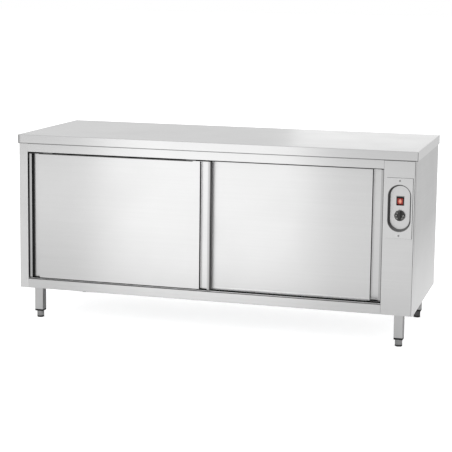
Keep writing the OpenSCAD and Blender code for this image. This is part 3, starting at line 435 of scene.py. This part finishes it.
def rim_mask(tree, place):
    """Painted shade: the dish's walls, less so where they face up, a line along its rim, and a frame round
    the bezel.

    The rim lies where the distance to the dish's straight middle line is its end radius.
    """
    x, _, z = split_vector(tree, place)
    low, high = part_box("control_plate")
    across = off_middle(tree, x, (low[0] + high[0]) / 2)
    up = off_middle(tree, z, (low[2] + high[2]) / 2)
    past = largest(tree, maths(tree, "SUBTRACT", up, DISH_STRAIGHT), 0.0)
    squares = [maths(tree, "MULTIPLY", side, side) for side in (across, past)]
    reach = maths(tree, "SQRT", maths(tree, "ADD", *squares), 0.0)
    line = ramp(tree, off_middle(tree, reach, DISH_R), RIM_HALF, RIM_HALF + SOFT, RIM_SHADE, 0.0)
    _, _, facing_up = split_vector(tree, object_normal(tree))
    ledge = ramp(tree, facing_up, LEDGE_NONE, LEDGE_FULL, 1.0, LEDGE_SHADE)
    walls = maths(tree, "MULTIPLY", turned_mask(tree, place), ledge)
    low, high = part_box("switch_housing")
    beside = maths(tree, "SUBTRACT", off_middle(tree, x, (low[0] + high[0]) / 2), (high[0] - low[0]) / 2)
    over = off_middle(tree, z, (low[2] + high[2]) / 2 + BEZEL_UP)
    over = maths(tree, "SUBTRACT", over, (high[2] - low[2]) / 2)
    bezel = ramp(tree, largest(tree, beside, over), BEZEL_DARK, BEZEL_FADE, BEZEL_SHADE, 0.0)
    return largest(tree, walls, line, bezel)


# How closely the grain lies across the sheet, and how far a scratch runs along it, in waves a metre
GRAIN_ACROSS = 900.0
GRAIN_ALONG = 7.0

# Steel: how its streaks and smears multiply the tint and add to the roughness, and a smear's share
STREAK_TINTS = (0.955, 1.03)
STREAK_ROUGH = 0.03
SMEAR_TINT, SMEAR_SHARE = 0.97, 0.35
SMEAR_ROUGH = (-0.02, 0.03)
GRAIN_BUMP = 0.5

# Painted shade made matt: the mask above which the steel loses its metal sheen, the roughness that adds, and
# the gloss that stays
MATT_SHADE_FROM, MATT_SHADE_ROUGH, MATT_SHADE_GLOSS = 0.5, 0.35, 0.1


def grain_scale(axis):
    """Coordinate scales that draw the noise out along one axis."""
    return tuple(GRAIN_ALONG if i == axis else GRAIN_ACROSS for i in range(3))


def steel(name, tint, roughness, axis, relief=0.00002, band=0.45, shade=None, lift=None):
    """Brushed stainless steel with its grain along an axis: streaked colour and gloss, smears, fine relief.

    A lift is a paler tint, painted light, and the function that makes its mask. A shade is a darker tint,
    painted shade, the function that makes its mask, and whether the metal also turns matt where the mask is
    high, so that the painted shade stays dark.
    """
    material, tree, shader = new_material(name)
    place = object_place(tree)
    grain = add(tree, "ShaderNodeGroup", node_tree=BRUSHED)
    grain.inputs["Band Contrast"].default_value = band
    tree.links.new(scaled(tree, place, grain_scale(axis)), grain.inputs["Grain Vector"])
    smears = add(tree, "ShaderNodeGroup", node_tree=SMEARS)
    tree.links.new(place, smears.inputs["Place"])
    streak, smear = grain.outputs["Streak"], smears.outputs["Smear"]
    dark, pale, wiped = (tuple(c * k for c in tint) for k in (*STREAK_TINTS, SMEAR_TINT))
    colour = blend_colour(tree, streak, dark, pale)
    colour = blend_colour(tree, ramp(tree, smear, 0.0, 1.0, 0.0, SMEAR_SHARE), colour, wiped)
    streaked = ramp(tree, streak, 0.0, 1.0, roughness - STREAK_ROUGH, roughness + STREAK_ROUGH)
    rough = maths(tree, "ADD", streaked, ramp(tree, smear, 0.0, 1.0, *SMEAR_ROUGH))
    shader.inputs["Metallic"].default_value = 1.0
    if lift:
        pale_tint, make_mask = lift
        colour = blend_colour(tree, make_mask(tree, place), colour, pale_tint)
    if shade:
        dark_tint, make_mask, matt_shade = shade
        mask = make_mask(tree, place)
        colour = blend_colour(tree, mask, colour, dark_tint)
        if matt_shade:
            shader.inputs["Specular IOR Level"].default_value = MATT_SHADE_GLOSS
            rough = maths(tree, "ADD", rough, ramp(tree, mask, MATT_SHADE_FROM, 1.0, 0.0, MATT_SHADE_ROUGH))
            tree.links.new(ramp(tree, mask, MATT_SHADE_FROM, 1.0, 1.0, 0.0), shader.inputs["Metallic"])
    tree.links.new(colour, shader.inputs["Base Color"])
    tree.links.new(rough, shader.inputs["Roughness"])
    set_relief(tree, shader, grain.outputs["Height"], GRAIN_BUMP, relief)
    return material


# Plastic: its worn tint from its colour, how far pits move the roughness, and the strength of its relief
WORN_GAIN, WORN_LIFT = 1.25, 0.004
PIT_ROUGH = 0.06
PIT_BUMP = 0.4


def moulded(name, colour, roughness, grain=2200.0, relief=0.00004, specular=0.5):
    """Moulded plastic: a fine pitted grain in the relief and the gloss, and a slight drift of colour."""
    material, tree, shader = new_material(name)
    place = object_place(tree)
    pits = noise(tree, place, Scale=grain, Detail=2.0)
    drift = noise(tree, place, Scale=30.0, Detail=2.0)
    worn = tuple(min(1.0, c * WORN_GAIN + WORN_LIFT) for c in colour)
    tint = blend_colour(tree, ramp(tree, drift, *DRIFT_SPAN, 0.0, 1.0), colour, worn)
    rough = ramp(tree, pits, *NOISE_SPAN, roughness - PIT_ROUGH, roughness + PIT_ROUGH)
    shader.inputs["Specular IOR Level"].default_value = specular
    tree.links.new(tint, shader.inputs["Base Color"])
    tree.links.new(rough, shader.inputs["Roughness"])
    set_relief(tree, shader, pits, PIT_BUMP, relief)
    return material


# Pressed fibre: the scales of its two directions, its colours, and its relief
FIBRE_SCALES = ((900.0, 160.0, 900.0), (160.0, 900.0, 300.0))
FIBRE_DARK, FIBRE_PALE = (0.36, 0.29, 0.12), (0.68, 0.6, 0.34)
FIBRE_ROUGH = 0.95
FIBRE_BUMP, FIBRE_RELIEF = 0.8, 0.0006


def mineral_wool():
    """Pressed fibre board: matted fibres in two directions of drawn-out noise."""
    material, tree, shader = new_material("mineral_wool")
    place = object_place(tree)
    fibres = [noise(tree, scaled(tree, place, scale), Scale=1.0, Detail=3.0) for scale in FIBRE_SCALES]
    matted = maths(tree, "MULTIPLY", *fibres)
    colour = blend_colour(tree, ramp(tree, matted, *FIBRE_SPAN, 0.0, 1.0), FIBRE_DARK, FIBRE_PALE)
    tree.links.new(colour, shader.inputs["Base Color"])
    shader.inputs["Roughness"].default_value = FIBRE_ROUGH
    set_relief(tree, shader, matted, FIBRE_BUMP, FIBRE_RELIEF)
    return material


def grey(value):
    """A colour with three equal parts."""
    return (value, value, value)


# A foot: heights where its black base ends and its metal begins, the base's tint, and its turning marks
BASE_END, METAL_START = 0.0076, 0.0080
BASE_TINT = grey(0.012)
TURNING_SCALE = (60.0, 60.0, 1800.0)
TURNING_ROUGH = (0.18, 0.27)
TURNING_BUMP, TURNING_RELIEF = 0.4, 0.00002


def foot_metal(name, dark, pale):
    """Turned steel foot whose lowest ring is black plastic: a mask by height picks colour and metal."""
    material, tree, shader = new_material(name)
    place = object_place(tree)
    _, _, z = split_vector(tree, place)
    metal = ramp(tree, z, BASE_END, METAL_START, 0.0, 1.0)
    grain = add(tree, "ShaderNodeGroup", node_tree=BRUSHED)
    tree.links.new(scaled(tree, place, TURNING_SCALE), grain.inputs["Grain Vector"])
    streak = grain.outputs["Streak"]
    turned_tint = blend_colour(tree, streak, grey(dark), grey(pale))
    tree.links.new(blend_colour(tree, metal, BASE_TINT, turned_tint), shader.inputs["Base Color"])
    tree.links.new(metal, shader.inputs["Metallic"])
    tree.links.new(ramp(tree, streak, 0.0, 1.0, *TURNING_ROUGH), shader.inputs["Roughness"])
    set_relief(tree, shader, grain.outputs["Height"], TURNING_BUMP, TURNING_RELIEF)
    return material


# The rocker's light: half sizes of its glow, where in it the light is full and ends, its power and colours
GLOW_SIZE = (0.0095, 0.02, 0.011)
GLOW_FULL, GLOW_END = 0.1, 0.95
GLOW_POWER = 0.9
GLOW_RIM, GLOW_MIDDLE = (0.07, 0.005, 0.003), (1.0, 0.52, 0.34)

# The rocker's plastic: its clouded colours and roughness
RED_DARK, RED_PALE = (0.20, 0.012, 0.008), (0.32, 0.02, 0.012)
RED_ROUGH = (0.16, 0.24)


def lit_red():
    """Red rocker lit from inside: a warm bright middle that falls off to deep red at the rim."""
    material, tree, shader = new_material("lit_red")
    low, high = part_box("switch_rocker")
    place = object_place(tree)
    mapping = add(tree, "ShaderNodeMapping", vector_type="TEXTURE", Location=tuple((low + high) / 2),
                  Scale=GLOW_SIZE)
    tree.links.new(place, mapping.inputs["Vector"])
    length = add(tree, "ShaderNodeVectorMath", operation="LENGTH")
    tree.links.new(mapping.outputs["Vector"], length.inputs[0])
    glow = ramp(tree, length.outputs["Value"], GLOW_FULL, GLOW_END, 1.0, 0.0)
    tree.links.new(blend_colour(tree, glow, GLOW_RIM, GLOW_MIDDLE), shader.inputs["Emission Color"])
    shader.inputs["Emission Strength"].default_value = GLOW_POWER
    cloud = noise(tree, place, Scale=260.0, Detail=2.0)
    tree.links.new(blend_colour(tree, cloud, RED_DARK, RED_PALE), shader.inputs["Base Color"])
    tree.links.new(ramp(tree, cloud, *NOISE_SPAN, *RED_ROUGH), shader.inputs["Roughness"])
    return material


# Finishes: steel takes a tint, a roughness and the axis of its grain, plastic a colour and a roughness
X, Y, Z = 0, 1, 2
STEEL_TINT = grey(0.53)
STEEL_ROUGH = 0.32
SHADE_TINT = grey(0.02)
RIM_TINT = grey(0.07)
# Painted shade on the doors: walls, edges, lips, grip floors, and shadow lines at foot and head
left_door_shade = (SHADE_TINT, grip_mask("left_door_front"), True)
right_door_shade = (SHADE_TINT, grip_mask("right_door_front"), True)
sheet_x = steel("sheet_grain_x", STEEL_TINT, STEEL_ROUGH, X)
# The side panels are paler at the foot and darker higher up, painted light and shade, each side with its own
# tints
right_sheet_y = steel("right_sheet_grain_y", grey(0.70), 0.34, Y, shade=(grey(0.425), height_mask, False))
left_sheet_y = steel("left_sheet_grain_y", grey(0.60), 0.34, Y, shade=(grey(0.515), height_mask, False))
# The worktop: dark lines at its corners, painted shade inward from its left end and a painted shadow line
# along its foot
worktop_x = steel("worktop_grain_x", STEEL_TINT, STEEL_ROUGH, X, shade=(grey(0.12), corner_mask, False))
left_door_x = steel("left_door_grain_x", STEEL_TINT, STEEL_ROUGH, X, shade=left_door_shade)
# The right door also has painted light along its foot
right_door_x = steel("right_door_grain_x", STEEL_TINT, STEEL_ROUGH, X, shade=right_door_shade,
                     lift=(grey(0.95), foot_lift))
# Painted shade on the walls and edges of the header, the doors' backs and the sill
rail_x = steel("rail_grain_x", STEEL_TINT, STEEL_ROUGH, X, shade=(SHADE_TINT, turned_mask, True))
sill_x = steel("sill_grain_x", STEEL_TINT, STEEL_ROUGH, X, shade=(SHADE_TINT, sill_mask, True))
# The guide is far paler than the other steel, painted light in the slot under the doors, with painted shade
# on its fins and plate
guide_steel = steel("guide_grain_x", grey(0.9), 0.3, X, shade=(grey(0.01), guide_mask, False))
# Painted shade on the dish's walls, along its rim and round the switch
plate_z = steel("plate_grain_z", grey(0.54), 0.34, Z, shade=(RIM_TINT, rim_mask, True))
# Painted shade on the legs' side faces
leg_steel = steel("leg_grain_z", grey(0.48), 0.30, Z, shade=(grey(0.2), side_mask, False))
inner_steel = steel("mill_finish_x", (0.66, 0.665, 0.67), 0.56, X, band=0.7)
# Darkened door hangers: painted shade in the gap over the left door
hanger_steel = steel("hanger_painted_shade", grey(0.14), 0.5, X)
screw_steel = steel("screw_bright", grey(0.55), 0.22, Y)
# Screws that hold the panels: darker than the bright screws
panel_screw_steel = steel("screw_darker", grey(0.24), 0.3, Y)
element_steel = steel("heat_darkened", (0.16, 0.14, 0.13), 0.45, Y)
cast_metal = steel("cast_aluminium", (0.55, 0.56, 0.57), 0.48, Z, relief=0.00008)
copper_tube = steel("copper_tube", (0.62, 0.30, 0.17), 0.30, Y)
black_plastic = moulded("black_plastic", grey(0.009), 0.45, specular=0.15)
knob_plastic = moulded("knob_plastic", grey(0.010), 0.38)
ivory_plastic = moulded("ivory_plastic", (0.62, 0.58, 0.45), 0.5)
nylon = moulded("nylon", (0.72, 0.72, 0.69), 0.42)
motor_paint = moulded("motor_paint", (0.05, 0.052, 0.055), 0.5, grain=900.0, relief=0.0001)
white_print = moulded("white_print", (0.70, 0.70, 0.68), 0.5)
dark_print = moulded("dark_print", grey(0.03), 0.5)
shadow_bead_black = moulded("shadow_bead_black", (0.035, 0.035, 0.037), 0.6, grain=600.0, relief=0.0001)
front_foot = foot_metal("foot_metal", 0.24, 0.33)
# The rear feet are darker copies of the front feet, painted shade
rear_foot = foot_metal("foot_metal_painted_shade", 0.07, 0.11)

FINISHES = {
    sheet_x: ["control_column", "back_panel", "service_cover"],
    worktop_x: ["worktop"],
    rail_x: ["door_header", "left_door_back", "right_door_back"],
    sill_x: ["door_sill"],
    guide_steel: ["floor_guide"],
    left_door_x: ["left_door_front"],
    right_door_x: ["right_door_front"],
    left_sheet_y: ["left_side_panel"],
    right_sheet_y: ["right_side_panel"],
    plate_z: ["control_plate"],
    leg_steel: ["leg_front_left", "leg_front_right", "leg_rear_left", "leg_rear_right"],
    front_foot: ["foot_front_left", "foot_front_right"],
    rear_foot: ["foot_rear_left", "foot_rear_right"],
    inner_steel: ["worktop_stiffeners", "base_panel", "chamber_left_liner", "chamber_back_liner",
                  "chamber_ceiling", "chamber_floor", "heater_partition", "shelf", "shelf_angles",
                  "front_door_track", "rear_door_track", "fan_housing", "thermostat_body"],
    hanger_steel: ["left_door_hangers", "right_door_hangers"],
    panel_screw_steel: ["panel_screws"],
    screw_steel: ["thermostat_spindle", "fan_shaft"],
    element_steel: ["heating_element"],
    cast_metal: ["fan_impeller"],
    copper_tube: ["thermostat_capillary"],
    black_plastic: ["switch_housing", "cable_gland", "gland_locknut", "leg_inserts", "left_door_guide",
                    "right_door_guide"],
    knob_plastic: ["thermostat_knob"],
    ivory_plastic: ["terminal_block"],
    nylon: ["left_door_roller_left", "left_door_roller_right", "right_door_roller_left",
            "right_door_roller_right"],
    motor_paint: ["fan_motor"],
    mineral_wool(): ["insulation_boards", "left_door_core", "right_door_core"],
    lit_red(): ["switch_rocker"],
}
for finish, names in FINISHES.items():
    for name in names:
        nodes[name].data.materials.clear()
        nodes[name].data.materials.append(finish)


# Small pieces that the solids leave out: the scale, the index, the switch's marks, and a black bead of
# painted shade round the plate
def new_piece(name, points, faces, finish, body):
    """A mesh piece from points in metres and faces, with its finish, that rides on a body."""
    mesh = bpy.data.meshes.new(name)
    mesh.from_pydata(points.tolist(), [], faces)
    mesh.materials.append(finish)
    piece = bpy.data.objects.new(name, mesh)
    bpy.context.scene.collection.objects.link(piece)
    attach(piece, body)


def ring_faces(rows, columns):
    """Quads of a grid of rows by columns whose last row joins the first."""
    index = np.arange(rows * columns).reshape(rows, columns)
    ahead = np.roll(index, -1, axis=0)
    corners = (index[:, :-1], ahead[:, :-1], ahead[:, 1:], index[:, 1:])
    return np.stack([c.ravel() for c in corners], axis=1).tolist()


def join_marks(marks):
    """One array of flat points and one list of faces from several marks."""
    starts = np.cumsum([0] + [len(points) for points, _ in marks])
    faces = [[start + i for i in face] for start, (_, some) in zip(starts.tolist(), marks) for face in some]
    return np.concatenate([points for points, _ in marks]), faces


def turned(points, degrees):
    """Flat points (across, up) turned counter-clockwise about the origin, as seen from the front."""
    a = math.radians(degrees)
    turn = np.array([[math.cos(a), math.sin(a)], [-math.sin(a), math.cos(a)]])
    return np.asarray(points, float) @ turn


def bar_mark(width, low, high, degrees=0.0):
    """A dash of a width from one height to another over the origin, turned about it."""
    corners = [(-width / 2, low), (width / 2, low), (width / 2, high), (-width / 2, high)]
    return turned(corners, degrees), [[0, 1, 2, 3]]


def ring_mark(inner, outer, height, count=40):
    """A flat ring round a point on the upright: (r sin a, height + r cos a) on a grid of angle by radius."""
    angle = np.linspace(0.0, 2 * np.pi, count, endpoint=False)[:, None]
    radius = np.array([inner, outer])[None, :]
    points = np.stack([radius * np.sin(angle), height + radius * np.cos(angle)], axis=2).reshape(-1, 2)
    return points, ring_faces(count, 2)


def numeral(digits, height, radius, degrees):
    """A printed number as flat faces: upright at a radius over the origin, then turned about it."""
    curve = bpy.data.curves.new("numeral", "FONT")
    curve.body, curve.size, curve.resolution_u = digits, height, 3
    curve.align_x, curve.align_y = "CENTER", "CENTER"
    source = bpy.data.objects.new("numeral", curve)
    mesh = source.to_mesh()
    flat = np.empty(3 * len(mesh.vertices))
    mesh.vertices.foreach_get("co", flat)
    faces = [list(face.vertices) for face in mesh.polygons]
    source.to_mesh_clear()
    bpy.data.objects.remove(source)
    bpy.data.curves.remove(curve)
    return turned(flat.reshape(-1, 3)[:, :2] + (0.0, radius), degrees), faces


# The dial, measured from the knob: its back stands a little off the dish's floor
KNOB_LOW, KNOB_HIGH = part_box("thermostat_knob")
DIAL_X, DIAL_Z = (KNOB_LOW[0] + KNOB_HIGH[0]) / 2, (KNOB_LOW[2] + KNOB_HIGH[2]) / 2
KNOB_R = (KNOB_HIGH[0] - KNOB_LOW[0]) / 2
KNOB_GAP = 0.0005
KNOB_SKIRT = 0.008
PRINT_T = 0.00008
DISH_FLOOR_Y = KNOB_HIGH[1] + KNOB_GAP

# The scale in degrees: its dashes, the longer ones among them, its end, and its numbers
SCALE_STEP, SCALE_LONG, SCALE_TURN = 15, 45, 270
SCALE_NUMBERS = {"30": 45, "40": 90, "50": 135, "70": 225, "80": 270}

# The scale in metres: its margin to the knob's rim, the dashes' width and lengths, and the numbers
SCALE_MARGIN = 0.0022
DASH_W, DASH_LONG, DASH_SHORT = 0.0008, 0.0026, 0.0016
NUMBER_H, NUMBER_R = 0.0062, 0.0142

# The index: how far outside the knob its tip and its base lie, and half its width
INDEX_TIP, INDEX_BASE, INDEX_HALF = 0.0012, 0.0042, 0.0017


def on_plane(flat, y):
    """Flat points about the dial's middle, on an upright plane."""
    return np.stack([DIAL_X + flat[:, 0], np.full(len(flat), y), DIAL_Z + flat[:, 1]], axis=1)


def make_dial():
    """The knob's scale, dashes and numbers that run against its turn, and a fixed index over it."""
    rim = KNOB_R - SCALE_MARGIN
    marks = []
    for degrees in range(0, SCALE_TURN + 1, SCALE_STEP):
        length = DASH_LONG if degrees % SCALE_LONG == 0 else DASH_SHORT
        marks.append(bar_mark(DASH_W, rim - length, rim, degrees))
    marks += [numeral(digits, NUMBER_H, NUMBER_R, degrees) for digits, degrees in SCALE_NUMBERS.items()]
    flat, faces = join_marks(marks)
    scale = on_plane(flat, KNOB_HIGH[1] - KNOB_SKIRT - PRINT_T)
    new_piece("knob_scale", scale, faces, white_print, "knob")
    tip, base = KNOB_R + INDEX_TIP, KNOB_R + INDEX_BASE
    arrow = np.array([(0.0, tip), (INDEX_HALF, base), (-INDEX_HALF, base)])
    index = on_plane(arrow, DISH_FLOOR_Y - PRINT_T)
    new_piece("dial_index", index, [[0, 1, 2]], dark_print, "cabinet")


# The rocker: its middle over the dial, its two faces falling back from a ridge, and its tilt when it is on
ROCKER_UP = 0.061
ROCKER_SINK = 0.0015
ROCKER_RIDGE, ROCKER_FALL = 0.0055, 0.0024 / 0.013
ROCKER_TILT = math.radians(10.0)

# The switch's marks: the dash's width, foot and head, and the ring's two radii and height
ON_DASH = (0.0011, -0.0095, -0.0045)
OFF_RING = (0.0017, 0.0025, 0.007)


def make_switch_marks():
    """Dash and ring on the rocker: depth = ridge - fall x height each way, then turned by its tilt."""
    flat, faces = join_marks([bar_mark(*ON_DASH), ring_mark(*OFF_RING)])
    across, up = flat[:, 0], flat[:, 1]
    y = -ROCKER_RIDGE + ROCKER_FALL * np.abs(up) - PRINT_T
    points = np.stack([DIAL_X + across,
                       DISH_FLOOR_Y + ROCKER_SINK + y * math.cos(ROCKER_TILT) - up * math.sin(ROCKER_TILT),
                       DIAL_Z + ROCKER_UP + y * math.sin(ROCKER_TILT) + up * math.cos(ROCKER_TILT)], axis=1)
    new_piece("switch_marks", points, faces, white_print, "rocker")


# The black bead, painted shade for the plate's shadow line: the plate's sheet, the bead's width and height,
# and the points on a corner and across the bead
PLATE_T = 0.0015
BEAD_W, BEAD_H = 0.0022, 0.0010
CORNER_STEPS, BEAD_STEPS = 7, 9
PLATE_CORNERS = [(1, 1), (1, -1), (-1, -1), (-1, 1)]

# Shares of the bead's width: the least, the same on every side, to the right, and at the top
BEAD_LEAST, BEAD_EVEN, BEAD_RIGHT, BEAD_TOP = 0.05, 0.38, 0.5, 0.14


def make_plate_shadow_bead():
    """A black bead round the control plate, painted shade for its shadow line: a half ellipse carried
    clockwise round it, fuller towards the right.

    At t from 0 to pi it is width / 2 x (1 - cos t) outside the plate, and height x sin t before its back.
    """
    low, high = (np.array(corner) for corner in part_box("control_plate"))
    middle, half = (low + high) / 2, (high - low) / 2 - PLATE_T
    quarter = np.linspace(0.0, np.pi / 2, CORNER_STEPS)
    angle = np.pi / 2 - np.concatenate([q * np.pi / 2 + quarter for q in range(4)])
    corner = np.repeat(PLATE_CORNERS, CORNER_STEPS, axis=0)
    outward = np.stack([np.cos(angle), np.sin(angle)], axis=1)
    share = BEAD_EVEN + BEAD_RIGHT * outward[:, :1] + BEAD_TOP * outward[:, 1:]
    width = BEAD_W * np.maximum(BEAD_LEAST, share)
    t = np.linspace(0.0, np.pi, BEAD_STEPS)
    offset = PLATE_T + width / 2 * (1 - np.cos(t))
    x = middle[0] + corner[:, :1] * half[0] + outward[:, :1] * offset
    z = middle[2] + corner[:, 1:] * half[2] + outward[:, 1:] * offset
    y = np.broadcast_to(low[1] + PLATE_T - BEAD_H * np.sin(t), x.shape)
    points = np.stack([x, y, z], axis=2).reshape(-1, 3)
    new_piece("plate_shadow_bead", points, ring_faces(len(angle), BEAD_STEPS), shadow_bead_black, "cabinet")


make_dial()
make_switch_marks()
make_plate_shadow_bead()


# Studio
FLOOR_REACH = 60.0
FLOOR_GLOW = 0.6
FLOOR_GLOW_IN_METAL = 0.15
FLOOR_TINT = 0.85
SKY_LIGHT = 0.95
WHITE = (1.0, 1.0, 1.0, 1.0)

# Lamps: place, point that it is turned to, width and height, and power
SOFTBOXES = {
    "softbox_front": ((-0.255, -1.15, 0.58), (-0.255, -0.35, 0.58), (1.10, 1.2), 3.35),
    "softbox_right": ((0.72, -1.15, 0.36), (0.72, -0.35, 0.36), (0.75, 0.7), 0.4),
    "softbox_left": ((-1.9, -2.4, 0.2), (-0.8, -0.35, 0.25), (1.3, 0.6), 1.6),
    "softbox_back": ((0.19, 3.0, 1.3), (0.24, 0.0, 0.85), (1.22, 0.9), 1.65),
}


def seen_rays(tree, straight, mirrored):
    """One value for camera and transmission rays, one for glossy rays, and zero for the light that falls."""
    path = tree.nodes.new("ShaderNodeLightPath")
    seen = largest(tree, path.outputs["Is Camera Ray"], path.outputs["Is Transmission Ray"])
    return largest(tree, maths(tree, "MULTIPLY", seen, straight),
                   maths(tree, "MULTIPLY", path.outputs["Is Glossy Ray"], mirrored))


def make_floor():
    """A wide pale floor: a dim matt surface that keeps a shadow, and a glow that only the seen rays meet."""
    mesh = bpy.data.meshes.new("floor")
    corners = np.array([(-1, -1, 0), (1, -1, 0), (1, 1, 0), (-1, 1, 0)], float) * FLOOR_REACH
    mesh.from_pydata(corners.tolist(), [], [(0, 1, 2, 3)])
    floor = bpy.data.objects.new("floor", mesh)
    bpy.context.scene.collection.objects.link(floor)
    material, tree, shader = new_material("floor")
    shader.inputs["Base Color"].default_value = (*grey(FLOOR_TINT), 1.0)
    shader.inputs["Roughness"].default_value = 1.0
    shader.inputs["Specular IOR Level"].default_value = 0.0
    shader.inputs["Emission Color"].default_value = WHITE
    tree.links.new(seen_rays(tree, FLOOR_GLOW, FLOOR_GLOW_IN_METAL), shader.inputs["Emission Strength"])
    mesh.materials.append(material)


def make_world():
    """White for the seen rays, and a soft dimmer sky for the light that falls on everything."""
    world = bpy.data.worlds.new("studio")
    bpy.context.scene.world = world
    world.use_nodes = True
    tree = world.node_tree
    background = tree.nodes["Background"]
    background.inputs["Color"].default_value = WHITE
    tree.links.new(largest(tree, seen_rays(tree, 1.0, 1.0), SKY_LIGHT), background.inputs["Strength"])


def make_softbox(name, at, aim, size, power):
    """An area lamp at a place, turned to a point."""
    data = bpy.data.lights.new(name, "AREA")
    data.shape = "RECTANGLE"
    data.size, data.size_y = size
    data.energy = power
    lamp = bpy.data.objects.new(name, data)
    lamp.location = at
    lamp.rotation_euler = (Vector(aim) - Vector(at)).to_track_quat("-Z", "Y").to_euler()
    lamp.visible_camera = False
    bpy.context.scene.collection.objects.link(lamp)


make_floor()
make_world()
for name, settings in SOFTBOXES.items():
    make_softbox(name, *settings)

bpy.context.scene.view_settings.view_transform = "Standard"
